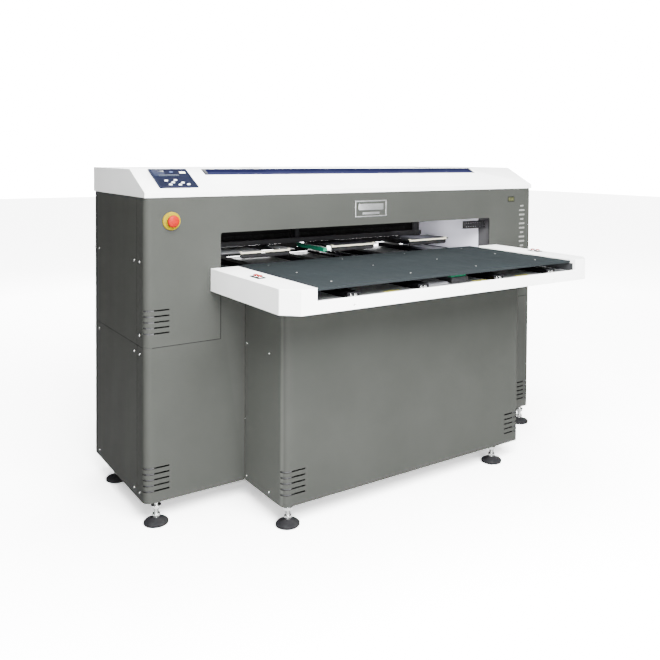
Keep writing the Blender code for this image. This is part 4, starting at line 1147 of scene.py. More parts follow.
@dataclass
class Cover:
    """White sloped cover with its lid, window and membrane panel."""

    lip: float = 1.093
    fold_depth: float = 0.150
    print_proud: float = 0.0044
    screws_z: float = 1.095
    screws_x: tuple[float, ...] = (-0.8, -0.4, 0.0, 0.4, 0.8)
    pull_x: float = 0.42

    def build(self, fitter: Fitter) -> None:
        """Fit the cover's dressings.

        Args:
            fitter: Takes the pieces.
        """
        dress(("top_cover", "access_lid"), Coat.COVER, 0.0012, 3)
        dress(("window_strip",), Coat.WINDOW, 0.0006)
        dress(("control_panel",), Coat.MEMBRANE, 0.0006)
        dress([f"panel_key_{i}" for i in range(1, 8)], Coat.KEY, 0.0006, 3)
        front = span("top_cover")[0].y
        top = span("top_cover")[1].z
        fold = front + self.fold_depth
        self.slope = math.atan2(top - self.lip, fold - front)
        self.out = Vector((0, -math.sin(self.slope), math.cos(self.slope)))
        self.up = Vector((0, math.cos(self.slope), math.sin(self.slope)))
        self.origin = Vector((0, front, self.lip))
        self.fit_panel_print(fitter)
        self.fit_window_edges(fitter)
        self.fit_lid_gap(fitter)
        self.fit_cover_screws(fitter)

    def on_slope(self, x: float, along: float, proud: float = 0.0) -> Matrix:
        """Frame on the sloped front.

        Args:
            x: Place across the machine.
            along: Distance up the slope.
            proud: Height above the sheet.

        Returns:
            The frame.
        """
        spot = self.origin + Vector((x, 0, 0)) + self.up * along + self.out * proud
        return face_place(spot, self.out, self.up)

    def fit_panel_print(self, fitter: Fitter) -> None:
        """Display, printed fields and border on the membrane.

        Args:
            fitter: Takes the pieces.
        """
        proud = self.print_proud
        low, high = span("control_panel")
        centre = (low.x + high.x) / 2
        wide = high.x - low.x

        def pad(width: float, height: float, radius: float, thick: float = 0.0004) -> Maker:
            return flat(width, height, radius, thick, thick / 4)

        def oval(radius: float, steps: int, stretch: float) -> Maker:
            outline = ring_outline(radius, steps, stretch)
            return lambda shape: add_slab(shape, outline, 0, 0.0004, 0.0001)

        haze = self.on_slope(centre - wide * 0.30, 0.128, proud)
        fitter.fit("panel_haze_field", pad(0.040, 0.046, 0.006), Coat.MEMBRANE_HAZE, "root", haze)
        screen = self.on_slope(centre - 0.010, 0.1085, proud)
        fitter.fit("display_window", pad(0.074, 0.013, 0.002, 0.0008), Coat.SCREEN, "root", screen)

        def rows(shape: bmesh.types.BMesh) -> None:
            for row in (-1, 1):
                for cell in range(12):
                    spot = moved(-0.0325 + cell * 0.0059, row * 0.0030, 0)
                    add_slab(shape, rounded_outline(0.0040, 0.0034, 0.0004), 0.0008, 0.0010,
                             0.00004, spot)

        fitter.fit("display_cells", rows, Coat.CELL, "root", screen)
        pale = self.on_slope(-0.803, 0.1405, proud)
        fitter.fit("pale_oval_mark", oval(0.011, 28, 0.42), Coat.PALE_PRINT, "root", pale)
        blue = self.on_slope(-0.767, 0.1335, proud)
        fitter.fit("blue_oval_mark", oval(0.007, 24, 0.5), Coat.BLUE_PRINT, "root", blue)
        block = self.on_slope(-0.728, 0.1300, proud)
        fitter.fit("cream_block_mark", pad(0.020, 0.013, 0.001), Coat.CREAM_PRINT, "root", block)

        def bezel(shape: bmesh.types.BMesh) -> None:
            height = 0.131
            for sign in (-1, 1):
                add_slab(shape, rounded_outline(wide, 0.0022, 0.0008), 0, 0.0006, 0.0002,
                         moved(0, sign * (height / 2 - 0.0011), 0))
                add_slab(shape, rounded_outline(0.0022, height - 0.0046, 0.0008), 0, 0.0006,
                         0.0002, moved(sign * (wide / 2 - 0.0011), 0, 0))

        fitter.fit("membrane_border", bezel, Coat.MEMBRANE_HAZE, "root",
                   self.on_slope(centre, 0.0915, proud))
        for number in range(1, 8):
            key = middle(f"panel_key_{number}")
            spot = key + self.out * 0.0021

            def cap(shape: bmesh.types.BMesh) -> None:
                add_slab(shape, ring_outline(0.0052, 28, 0.66), 0, 0.0007, 0.0003)

            fitter.fit(f"key_cap_{number}", cap, Coat.PALE_PRINT, f"key_{number}",
                       face_place(spot, self.out, self.up))

    def fit_window_edges(self, fitter: Fitter) -> None:
        """A clip at each end of the window.

        Args:
            fitter: Takes the pieces.
        """
        low, high = span("window_strip")
        wide = high.x - low.x
        clip = flat(0.010, 0.036, 0.003, 0.0012, 0.0004)
        for side in Side:
            spot = self.on_slope(side.value * (wide / 2 - 0.007), 0.1425, 0.0001)
            fitter.fit(f"window_clip_{side.word}", clip, Coat.DARK_PLATE, "lid", spot)

    def fit_lid_gap(self, fitter: Fitter) -> None:
        """Two finger pulls on the lid and a piano hinge along its rear edge.

        Args:
            fitter: Takes the pieces.
        """
        low, high = span("access_lid")
        deep = high.y - low.y

        def pull(shape: bmesh.types.BMesh) -> None:
            add_slab(shape, rounded_outline(0.090, 0.022, 0.010), 0, 0.0012, 0.0004)
            add_slab(shape, rounded_outline(0.074, 0.010, 0.0048), 0.0012, 0.0022, 0.0005)

        for side in Side:
            spot = Vector((side.value * self.pull_x, low.y + deep * 0.16, high.z))
            fitter.fit(f"lid_pull_{side.word}", pull, Coat.DARK_PLATE, "lid",
                       face_place(spot, Facing.UP.value))

        def knuckles(shape: bmesh.types.BMesh) -> None:
            profile = [(0, 0.030), (0.0028, 0.030), (0.0032, 0.0295), (0.0032, -0.0295),
                       (0.0028, -0.030), (0, -0.030)]
            for index in range(18):
                spot = moved(-0.595 + index * 0.070, 0, 0)
                add_lathe(shape, profile, 16, spot @ Matrix.Rotation(math.pi / 2, 4, "Y"))

        hinge = moved(0, high.y + 0.0002, high.z - 0.0012)
        fitter.fit("lid_piano_hinge", knuckles, Coat.ZINC, "root", hinge)

    def fit_cover_screws(self, fitter: Fitter) -> None:
        """Screws along the cover's rear.

        Args:
            fitter: Takes the pieces.
        """
        back = span("top_cover")[1].y
        places = [face_place(Vector((x, back, self.screws_z)), Facing.REAR.value)
                  for x in self.screws_x]
        screws(fitter, "cover_screws_rear", places, 0.0040)


@dataclass
class LoadingTray:
    """White tray with its screws and the red push buttons."""

    bar_screws_x: tuple[float, ...] = (-0.4420, 0.0060, 0.4480)
    bar_screws_z: float = 0.7695
    arm_inner: float = 0.5708
    seal_depth: float = 0.259
    seal_z: float = 0.8010
    button_crown: float = 0.0022
    collar_gap: float = 0.0004

    def build(self, fitter: Fitter) -> None:
        """Fit the tray's dressings.

        Args:
            fitter: Takes the pieces.
        """
        dress(("loading_tray",), Coat.TRAY, 0.0022, 3)
        dress(("button_plate_left", "button_plate_right"), Coat.DARK_PLATE, 0.0012, 3)
        front = span("loading_tray")[0].y
        places = [face_place(Vector((x, front, self.bar_screws_z)), Facing.FRONT.value)
                  for x in self.bar_screws_x]
        screws(fitter, "tray_bar_screws", places, 0.0036)
        seal = flat(0.490, 0.0300, 0.0015, 0.0009, 0.0003)
        for side in Side:
            spot = Vector((side.value * self.arm_inner, front + self.seal_depth, self.seal_z))
            fitter.fit(f"arm_seal_{side.word}", seal, Coat.SEAL, "root",
                       face_place(spot, (-side.value, 0, 0)))
            for number in (1, 2):
                self.fit_button(fitter, side, number)

    def fit_button(self, fitter: Fitter, side: Side, number: int) -> None:
        """A domed red button with a metal collar.

        Args:
            fitter: Takes the pieces.
            side: Which arm it is on.
            number: Its place on the plate.
        """
        node = f"red_button_{side.word}_{number}"
        low, high = span(node)
        spot = Vector(((low.x + high.x) / 2, (low.y + high.y) / 2, low.z))
        tall = high.z - low.z
        radius = (high.x - low.x) / 2
        profile = crown(radius, tall, self.button_crown, 8)
        profile += [(radius, tall - 0.0036), (radius - 0.0006, tall - 0.0040),
                    (0.0050, tall - 0.0040), (0.0050, 0), (0, 0)]
        fitter.fit(f"{node}_dome", lambda s: add_lathe(s, profile, 40), Coat.RED,
                   f"button_{side.word}_{number}", Matrix.Translation(spot), (node,))
        plate_top = span(f"button_plate_{side.word}")[1].z
        bore = radius + self.collar_gap
        collar = [(bore, 0.0009), (bore + 0.0012, 0.0009), (bore + 0.0018, 0.0005),
                  (bore + 0.0020, 0.0), (bore, 0.0), (bore, 0.0009)]
        fitter.fit(f"{node}_collar", lambda s: add_lathe(s, collar, 40), Coat.ZINC, "root",
                   moved(spot.x, spot.y, plate_top))


@dataclass
class PlatenTable:
    """Sliding table, its rails and the parts that show under it."""

    screw_depths: tuple[float, ...] = (0.086, 0.300, 0.500)
    screw_shift: float = 0.020
    markers_x: tuple[float, ...] = (-0.262, 0.122, 0.335)
    marker_inset: float = 0.030

    def build(self, fitter: Fitter) -> None:
        """Fit the table's dressings.

        Args:
            fitter: Takes the pieces.
        """
        dress(("platen_table",), Coat.TABLE, 0.0008, 2)
        dress(("table_runner_frame",), Coat.STEEL, 0.0010)
        dress([f"linear_rail_{i}" for i in range(1, 5)], Coat.RAIL, 0.0)
        dress(("bed_plate",), Coat.BED, 0.0010)
        dress(("table_idler_housing",), Coat.MOTOR, 0.0010)
        dress(("table_motor",), Coat.MOTOR, 0.0)
        self.fit_table_screws(fitter)
        self.fit_rail_details(fitter)
        self.fit_idler_cover(fitter)
        self.fit_markers(fitter)
        fit_toothed_belt(fitter, "table_belt", along_x=False)
        for name in ("table_drive_pulley", "table_idler_pulley"):
            fit_pulley(fitter, name)

    def fit_table_screws(self, fitter: Fitter) -> None:
        """Sunk screws that hold the table to its runners.

        Args:
            fitter: Takes the pieces.
        """
        low, high = span("platen_table")
        places = []
        for rail in range(1, 5):
            x = middle(f"linear_rail_{rail}").x
            for depth in self.screw_depths:
                spot = Vector((x + self.screw_shift * (-1) ** rail, low.y + depth, high.z - 0.0012))
                places.append(face_place(spot, Facing.UP.value))
        screws(fitter, "table_screws", places, 0.0034, "table", Coat.STEEL)

    def fit_rail_details(self, fitter: Fitter) -> None:
        """End caps on the rails and on the runners.

        Args:
            fitter: Takes the pieces.
        """
        for rail in range(1, 5):
            low, high = span(f"linear_rail_{rail}")
            x = (low.x + high.x) / 2
            z = (low.z + high.z) / 2
            wide, tall = high.x - low.x, high.z - low.z

            def lip(shape: bmesh.types.BMesh) -> None:
                for sign in (-1, 1):
                    add_slab(shape, rounded_outline(wide, 0.0022, 0.0008), 0, 0.0010, 0.0003,
                             moved(0, sign * (tall / 2 - 0.0011), 0))
                    add_slab(shape, rounded_outline(0.0030, tall - 0.005, 0.0008), 0, 0.0010,
                             0.0003, moved(sign * (wide / 2 - 0.0015), 0, 0))

            fitter.fit(f"rail_end_lip_{rail}", lip, Coat.MOTOR, "root",
                       face_place(Vector((x, low.y, z)), Facing.FRONT.value))

            def core(shape: bmesh.types.BMesh) -> None:
                for shift, across in ((-0.009, 0.007), (0.007, 0.010)):
                    add_slab(shape, rounded_outline(across, tall * 0.52, 0.002), 0, 0.0008,
                             0.0003, moved(shift, 0, 0))

            fitter.fit(f"rail_end_core_{rail}", core, Coat.ZINC, "root",
                       face_place(Vector((x, low.y, z)), Facing.FRONT.value))
            cap = flat(wide + 0.010, 0.0085, 0.002, 0.006, 0.0010)
            runner = span("table_runner_frame")
            spot = Vector((x, runner[0].y, runner[1].z - 0.0045))
            fitter.fit(f"runner_end_cap_{rail}", cap, Coat.MOTOR, "table",
                       face_place(spot, Facing.FRONT.value))

    def fit_idler_cover(self, fitter: Fitter) -> None:
        """Green board on the idler housing, and a ribbed strip beside it.

        Args:
            fitter: Takes the pieces.
        """
        low, high = span("table_idler_housing")
        centre = (low + high) / 2
        place = moved(centre.x, centre.y, high.z)
        board = flat(0.070, 0.054, 0.003, 0.0075, 0.0010)
        fitter.fit("idler_board", board, Coat.BOARD, "root", place)

        def ribs(shape: bmesh.types.BMesh) -> None:
            add_slab(shape, rounded_outline(0.092, 0.160, 0.003), 0, 0.004, 0.0008)
            for rib in range(13):
                up = moved(-0.0414 + rib * 0.0069, 0, 0)
                add_slab(shape, rounded_outline(0.0030, 0.154, 0.001), 0.004, 0.0075, 0.0006, up)

        spot = moved(low.x - 0.056, low.y + 0.083, span("bed_plate")[1].z)
        fitter.fit("ribbed_cable_strip", ribs, Coat.PRIMER, "root", spot)

    def fit_markers(self, fitter: Fitter) -> None:
        """Plain yellow markers along the bed's front.

        Args:
            fitter: Takes the pieces.
        """
        top = span("bed_plate")[1].z
        front = span("bed_plate")[0].y
        for number, x in enumerate(self.markers_x, 1):
            marker = flat(0.062, 0.030, 0.003, 0.0004, 0.0001)
            fitter.fit(f"yellow_marker_{number}", marker, Coat.STICKER, "root",
                       moved(x, front + self.marker_inset, top))


def fit_pulley(fitter: Fitter, node: str) -> None:
    """A toothed pulley with flanges and a hub, in place of the plain one.

    Args:
        fitter: Takes the piece.
        node: The CAD pulley, which its body is named for.
    """
    low, high = span(node)
    radius = (high.x - low.x) / 2
    centre = (low + high) / 2
    top = high.z
    bottom = top - 0.010

    def make(shape: bmesh.types.BMesh) -> None:
        add_slab(shape, toothed_outline(radius - 0.0002, 34, 0.0012), bottom + 0.0008,
                 top - 0.0008, 0.0)
        hub = [(0, top), (0.0040, top), (0.0042, top - 0.0002), (0.0100, top - 0.0002),
               (0.0105, top - 0.0006), (radius - 0.0022, top - 0.0006),
               (radius - 0.0016, top - 0.0008), (0, top - 0.0008)]
        add_lathe(shape, hub, 40)
        foot = [(0, bottom + 0.0008), (radius - 0.0016, bottom + 0.0008),
                (radius - 0.0022, bottom + 0.0003), (0.0060, bottom),
                (0.0060, low.z), (0, low.z)]
        add_lathe(shape, foot, 40)

    fitter.fit(f"{node}_toothed", make, Coat.STEEL, node, moved(centre.x, centre.y, 0), (node,))


def fit_toothed_belt(fitter: Fitter, node: str, along_x: bool) -> None:
    """A belt with inner teeth along its two runs and round its pulleys.

    Args:
        fitter: Takes the piece.
        node: The CAD belt.
        along_x: True when the belt's long way is X.
    """
    low, high = span(node)
    centre = (low + high) / 2
    outer = min(high.x - low.x, high.y - low.y) / 2
    reach = (max(high.x - low.x, high.y - low.y)) / 2 - outer
    tooth_pitch = 0.005
    height = (low.z, high.z)

    def loop(radius: float) -> list[Point2]:
        points = []
        for end, start in ((1, -90), (-1, 90)):
            for step in range(25):
                angle = math.radians(start + 180 * step / 24)
                points.append((end * reach + radius * math.cos(angle), radius * math.sin(angle)))
        return points

    def make(shape: bmesh.types.BMesh) -> None:
        outside = [(shape.verts.new((x, y, height[0])), shape.verts.new((x, y, height[1])))
                   for x, y in loop(outer)]
        inside = [(shape.verts.new((x, y, height[0])), shape.verts.new((x, y, height[1])))
                  for x, y in loop(outer - 0.0014)]
        count = len(outside)
        for i in range(count):
            j = (i + 1) % count
            shape.faces.new((outside[i][0], outside[j][0], outside[j][1], outside[i][1]))
            shape.faces.new((inside[j][0], inside[i][0], inside[i][1], inside[j][1]))
            shape.faces.new((outside[i][1], outside[j][1], inside[j][1], inside[i][1]))
            shape.faces.new((outside[j][0], outside[i][0], inside[i][0], inside[j][0]))
        teeth = int(2 * reach / tooth_pitch)
        for sign in (-1, 1):
            for tooth in range(teeth):
                x = -reach + (tooth + 0.5) * tooth_pitch
                up = moved(x, sign * (outer - 0.00165), 0)
                add_slab(shape, [(-0.0012, -0.0004), (0.0012, -0.0004), (0.0012, 0.0004),
                                 (-0.0012, 0.0004)], height[0] + 0.0002, height[1] - 0.0002,
                         0.0, up)

    turn = Matrix.Identity(4) if along_x else Matrix.Rotation(math.pi / 2, 4, "Z")
    place = moved(centre.x, centre.y, 0) @ turn
    fitter.fit(f"{node}_toothed", make, Coat.BELT, "root", place, (node,))


@dataclass
class Gantry:
    """Portal, carriage, heads, drive, cable chain, rollers and service station."""

    proud: float = 0.0002
    damper_z: float = 1.036
    lining_y: float = 0.2945
    lining_z: float = 0.9110
    chain_links: int = 9
    chain_pitch: float = 0.0135
    chain_start: tuple[float, float] = (0.0290, 0.9200)
    guide_depth: float = 0.146
    guide_z: float = 0.8575
    skirts: tuple[tuple[float, float], ...] = ((-0.615, -0.146), (-0.114, 0.512))
    skirt_z: float = 0.8460
    stripe_z: float = 0.8530

    def build(self, fitter: Fitter) -> None:
        """Fit the mechanism's dressings.

        Args:
            fitter: Takes the pieces.
        """
        dress(("gantry_frame",), Coat.CHASSIS, 0.0012)
        dress(("print_carriage",), Coat.CARRIAGE, 0.0020, 3)
        dress(("print_head_block",), Coat.STEEL, 0.0)
        dress(("capping_station",), Coat.MOTOR, 0.0012)
        dress(("cap_tray",), Coat.CREAM, 0.0010)
        dress(("carriage_motor",), Coat.MOTOR, 0.0015)
        dress(("roller_beam",), Coat.CHASSIS, 0.0008)
        dress(("sensor_bar",), Coat.SENSOR, 0.0012)
        # The rollers are near black: partly their rubber, partly painted shade standing in for the
        # shadow below their cream edge.
        dress([f"hold_down_roller_{i}" for i in range(1, 4)], Coat.FOOT, 0.0006)
        fit_toothed_belt(fitter, "carriage_belt", along_x=True)
        for name in ("carriage_drive_pulley", "carriage_idler_pulley"):
            fit_pulley(fitter, name)
        self.fit_heads(fitter)
        self.fit_chain(fitter)
        self.fit_roller_plates(fitter)
        self.fit_light_strip(fitter)
        self.fit_motor_ends(fitter)
        self.fit_caps(fitter)

    def fit_heads(self, fitter: Fitter) -> None:
        """Nozzle plates under the heads and ink dampers on the carriage.

        Args:
            fitter: Takes the pieces.
        """
        low, high = span("print_head_block")
        centre = (low + high) / 2

        def nozzles(shape: bmesh.types.BMesh) -> None:
            for column in range(4):
                for row in range(2):
                    spot = moved(-0.066 + column * 0.044, -0.030 + row * 0.060, 0)
                    add_slab(shape, rounded_outline(0.034, 0.048, 0.003), 0, 0.0016, 0.0005, spot)

        fitter.fit("nozzle_plates", nozzles, Coat.ZINC, "carriage",
                   moved(centre.x, centre.y, low.z - self.proud))
        low, high = span("print_carriage")
        centre = (low + high) / 2

        def dampers(shape: bmesh.types.BMesh) -> None:
            for column in range(8):
                spot = moved(-0.094 + column * 0.0268, 0, 0)
                add_slab(shape, rounded_outline(0.022, 0.030, 0.004), 0, 0.016, 0.002, spot)
                profile = [(0, 0.024), (0.003, 0.024), (0.0038, 0.0232), (0.0038, 0.017),
                           (0.005, 0.016), (0, 0.016)]
                add_lathe(shape, profile, 16, spot)

        fitter.fit("ink_dampers", dampers, Coat.PALE_PRINT, "carriage",
                   moved(centre.x, low.y + 0.050, self.damper_z))

        def shield(shape: bmesh.types.BMesh) -> None:
            add_slab(shape, rounded_outline(0.200, 0.090, 0.006), 0, 0.002, 0.0006)
            for row in range(4):
                up = moved(0, -0.027 + row * 0.018, 0)
                add_slab(shape, rounded_outline(0.160, 0.006, 0.0028), 0.002, 0.0035, 0.0005, up)

        fitter.fit("carriage_shield", shield, Coat.CHASSIS, "carriage",
                   face_place(Vector((centre.x, low.y, centre.z + 0.01)), Facing.FRONT.value))

    def fit_chain(self, fitter: Fitter) -> None:
        """Cable chain on its bracket at the right of the slot, and the pale side lining.

        Args:
            fitter: Takes the pieces.
        """
        plate_x = span("gantry_frame")[1].x - 0.010
        lining = flat(0.4560, 0.2440, 0.004, 0.0010, 0.0003)
        centre = Vector((plate_x - 0.0014, self.lining_y, self.lining_z))
        fitter.fit("side_lining", lining, Coat.LINING, "root",
                   face_place(centre, Facing.LEFT.value))
        edge = flat(0.0800, 0.2440, 0.003, 0.0010, 0.0003)
        spot = Vector((plate_x - 0.0016, 0.0260, self.lining_z))
        fitter.fit("slot_return_sheet", edge, Coat.RETURN, "root",
                   face_place(spot, Facing.LEFT.value))
        start = Vector((plate_x - 0.118, *self.chain_start))
        pitch = self.chain_pitch

        def links(shape: bmesh.types.BMesh) -> None:
            for link in range(self.chain_links):
                shift = moved(link * pitch, 0, 0)
                add_slab(shape, rounded_outline(0.0125, 0.030, 0.003), -0.009, 0.009, 0.0015, shift)
                profile = [(0, 0.0102), (0.0022, 0.0102), (0.0026, 0.0098), (0.0026, 0.0088),
                           (0, 0.0088)]
                add_lathe(shape, profile, 14, shift)

        turn = Matrix.Rotation(math.pi / 2, 4, "X")
        fitter.fit("cable_chain_links", links, Coat.MOTOR, "root", Matrix.Translation(start) @ turn)

        def pins(shape: bmesh.types.BMesh) -> None:
            for link in range(self.chain_links):
                for height in (-0.008, 0.008):
                    profile = [(0, 0.0005), (0.0018, 0.0005), (0.0022, 0.0), (0.0022, -0.001),
                               (0, -0.001)]
                    add_lathe(shape, profile, 14, moved(link * pitch, height, 0.0092))

        fitter.fit("cable_chain_pins", pins, Coat.ZINC, "root", Matrix.Translation(start) @ turn)

        def shelf(shape: bmesh.types.BMesh) -> None:
            add_slab(shape, rounded_outline(0.128, 0.024, 0.003), -0.0015, 0.0, 0.0005)
            back = moved(0.0590, 0.0290, 0)
            add_slab(shape, rounded_outline(0.010, 0.040, 0.002), -0.0015, 0.0, 0.0005, back)

        spot = Vector((start.x + 0.054, start.y, start.z - 0.0152))
        fitter.fit("cable_chain_shelf", shelf, Coat.CHASSIS, "root", Matrix.Translation(spot))

    def fit_roller_plates(self, fitter: Fitter) -> None:
        """Painted skins, strips and fixings on the guide sheets that carry the rollers.

        Args:
            fitter: Takes the pieces.
        """
        low, high = span("roller_beam")
        front, rear, top = low.y, low.y + self.guide_depth, self.guide_z
        sheets = (("pale_wide", -0.600, -0.400, Coat.PALE_SHEET),
                  ("pale_narrow", -0.322, -0.263, Coat.PALE_SHEET),
                  ("dark_middle", -0.085, 0.130, Coat.DARK_SHEET),
                  ("dark_right", 0.300, 0.520, Coat.DARK_SHEET))
        for word, left, right, coat in sheets:
            skin = flat(right - left, rear - front, 0.003, 0.0010, 0.0003)
            place = moved((left + right) / 2, (front + rear) / 2, top)
            fitter.fit(f"guide_skin_{word}", skin, coat, "root", place)
            places = [moved(left + 0.010, front + depth, top + 0.0008)
                      for depth in (0.030, 0.075, 0.120)]
            screws(fitter, f"guide_screws_{word}", places, 0.0028)
        for number in range(1, 4):
            low, high = span(f"hold_down_roller_{number}")
            wide = high.x - low.x
            centre = (low + high) / 2
            strip = flat(wide + 0.004, 0.0064, 0.001, 0.0010, 0.0003)
            place = face_place(Vector((centre.x, front, top - 0.0022)), Facing.FRONT.value)
            fitter.fit(f"roller_strip_{number}", strip, Coat.CREAM, "root", place)

            def lugs(shape: bmesh.types.BMesh) -> None:
                for sign in (-1, 1):
                    spot = moved(sign * (wide / 2 - 0.0010), 0.0045, 0)
                    add_slab(shape, rounded_outline(0.009, 0.010, 0.002), 0, 0.0030, 0.0008, spot)

            fitter.fit(f"roller_lugs_{number}", lugs, Coat.CREAM, "root",
                       moved(centre.x, front, top + 0.0010))

        def skirt(shape: bmesh.types.BMesh) -> None:
            for left, right in self.skirts:
                add_slab(shape, rounded_outline(right - left, 0.0215, 0.002), 0, 0.0010, 0.0003,
                         moved((left + right) / 2, 0, 0))

        low, high = span("roller_beam")
        fitter.fit("garment_skirt", skirt, Coat.SHADOW, "root",
                   face_place(Vector((0, high.y - 0.0200, self.skirt_z)), Facing.FRONT.value))

    def fit_light_strip(self, fitter: Fitter) -> None:
        """Pale stripe along the green bar.

        Args:
            fitter: Takes the pieces.
        """
        low, high = span("sensor_bar")
        stripe = flat(0.0036, high.y - low.y - 0.010, 0.001, 0.0010, 0.0003)
        fitter.fit("sensor_stripe", stripe, Coat.PALE_PRINT, "root",
                   moved(high.x - 0.0030, (low.y + high.y) / 2, self.stripe_z))

    def fit_motor_ends(self, fitter: Fitter) -> None:
        """Finned end caps on the two motors.

        Args:
            fitter: Takes the pieces.
        """
        for node, upward in (("carriage_motor", True), ("table_motor", False)):
            low, high = span(node)
            centre = (low + high) / 2
            width = min(high.x - low.x, high.y - low.y) * 0.86
            z = high.z if upward else low.z

            def fins(shape: bmesh.types.BMesh) -> None:
                add_slab(shape, rounded_outline(width, width, 0.006), 0, 0.004, 0.001)
                for row in range(7):
                    across = moved(0, (row - 3) * width / 8, 0)
                    add_slab(shape, rounded_outline(width * 0.92, 0.003, 0.001), 0.004, 0.009,
                             0.0006, across)

            flip = Matrix.Identity(4) if upward else Matrix.Rotation(math.pi, 4, "X")
            y = centre.y - 0.007 if upward else centre.y
            fitter.fit(f"{node}_fins", fins, Coat.GANTRY, "root", moved(centre.x, y, z) @ flip)

    def fit_caps(self, fitter: Fitter) -> None:
        """Rubber lips on the cap tray.

        Args:
            fitter: Takes the pieces.
        """
        low, high = span("cap_tray")
        wide, deep, bar, tall = 0.040, 0.041, 0.003, 0.0018

        def lips(shape: bmesh.types.BMesh) -> None:
            for column in (-1, 1):
                for row in (-1, 1):
                    cx, cy = column * 0.024, row * 0.028
                    for sign in (-1, 1):
                        add_slab(shape, rounded_outline(wide, bar, 0.0012), 0, tall,
                                 0.0006, moved(cx, cy + sign * (deep + bar) / 2, 0))
                        add_slab(shape, rounded_outline(bar, deep, 0.0012), 0, tall,
                                 0.0006, moved(cx + sign * (wide - bar) / 2, cy, 0))

        centre = (low + high) / 2
        fitter.fit("cap_lips", lips, Coat.SHADOW, "cap_tray",
                   moved(centre.x, centre.y, high.z + self.proud - tall))


@dataclass
class EmergencyStop:
    """Yellow ring and red mushroom on the front."""

    bore: float = 0.0112
    cap_radius: float = 0.0198
    cap_sag: float = 0.0062
    stem: float = 0.0098

    def build(self, fitter: Fitter) -> None:
        """Fit the stop.

        Args:
            fitter: Takes the pieces.
        """
        low, high = span("estop_ring")
        centre = (low + high) / 2
        radius = (high.x - low.x) / 2
        thick = high.y - low.y
        ring = [(self.bore, thick), (0.0215, thick), (0.0225, thick - 0.0008),
                (radius - 0.0035, thick - 0.0008), (radius - 0.0008, thick - 0.0022),
                (radius, thick - 0.0040), (radius, 0), (self.bore, 0),
                (self.bore, thick)]
        place = face_place(Vector((centre.x, high.y, centre.z)), Facing.FRONT.value)
        fitter.fit("estop_yellow_ring", lambda s: add_lathe(s, ring, 72), Coat.YELLOW, "root",
                   place, ("estop_ring",))
        low, high = span("estop_button")
        deep = high.y - low.y
        dome = crown(self.cap_radius, deep, self.cap_sag, 10)
        dome += [(0.0200, deep - 0.0085), (0.0194, deep - 0.0112), (0.0160, deep - 0.0135),
                 (0.0100, deep - 0.0138), (self.stem, 0), (0, 0)]
        place = face_place(Vector((centre.x, high.y, centre.z)), Facing.FRONT.value)
        fitter.fit("estop_mushroom", lambda s: add_lathe(s, dome, 64), Coat.RED, "estop",
                   place, ("estop_button",))

        def arrows(shape: bmesh.types.BMesh) -> None:
            for index in range(3):
                turn = Matrix.Rotation(index * 2 * math.pi / 3, 4, "Z")
                points = [(0.0105 * math.cos(a), 0.0105 * math.sin(a))
                          for a in [math.radians(10 + 8 * i) for i in range(9)]]
                points += [(0.0090 * math.cos(a), 0.0090 * math.sin(a))
                           for a in [math.radians(74 - 8 * i) for i in range(9)]]
                add_slab(shape, points, deep - 0.0010, deep + 0.0001, 0.0001, turn)

        fitter.fit("estop_turn_marks", arrows, Coat.RED, "estop", place)


@dataclass
class LevellingFeet:
    """Rubber-faced discs on zinc stems with lock nuts."""

    words: tuple[str, ...] = ("front_left", "front_right", "rear_left", "rear_right",
                              "base_left", "base_right")
    disc_top: float = 0.0215
    pitch: float = 0.0022
    crest: float = 0.0080
    root: float = 0.0069
    collar: float = 0.0095


    def build(self, fitter: Fitter) -> None:
        """Fit all the feet.

        Args:
            fitter: Takes the pieces.
        """
        for word in self.words:
            self.fit_foot(fitter, word)

    def fit_foot(self, fitter: Fitter, word: str) -> None:
        """One foot in place of its plain solid.

        Args:
            fitter: Takes the pieces.
            word: Which foot.
        """
        node = f"foot_{word}"
        low, high = span(node)
        spot = Vector(((low.x + high.x) / 2, (low.y + high.y) / 2, 0))
        radius = (high.x - low.x) / 2
        disc = [(0, self.disc_top), (0.0125, self.disc_top), (0.0165, 0.0200), (0.0200, 0.0172),
                (radius - 0.0070, 0.0130), (radius - 0.0025, 0.0112), (radius, 0.0085),
                (radius, 0.0025), (radius - 0.0008, 0.0012), (radius - 0.0030, 0.0), (0, 0)]
        fitter.fit(f"{node}_disc", lambda s: add_lathe(s, disc, 64), Coat.FOOT, "root",
                   Matrix.Translation(spot), (node,))
        stem_low, stem_high = self.disc_top, high.z
        pitch, crest, root_radius = self.pitch, self.crest, self.root
        thread: list[Point2] = [(0, stem_high), (root_radius, stem_high)]
        turns = int((stem_high - stem_low - 0.004) / pitch)
        for turn in range(turns):
            z = stem_high - 0.0005 - turn * pitch
            thread += [(root_radius, z), (crest, z - pitch * 0.35), (crest, z - pitch * 0.5),
                       (root_radius, z - pitch * 0.85)]
        thread += [(root_radius, stem_low + 0.003), (self.collar, stem_low + 0.0015),
                   (self.collar, stem_low), (0, stem_low)]
        fitter.fit(f"{node}_stem", lambda s: add_lathe(s, thread, 32), Coat.ZINC, "root",
                   Matrix.Translation(spot))

        def nuts(shape: bmesh.types.BMesh) -> None:
            for z, tall, across in ((0.0260, 0.0080, 0.0138), (0.0500, 0.0110, 0.0148)):
                add_slab(shape, ring_outline(across, 6), z, z + tall, 0.0012)
            washer = [(0.0085, 0.0628), (0.0165, 0.0628), (0.0170, 0.0623), (0.0170, 0.0612),
                      (0.0085, 0.0612), (0.0085, 0.0628)]
            add_lathe(shape, washer, 36)

        fitter.fit(f"{node}_nuts", nuts, Coat.ZINC, "root", Matrix.Translation(spot))


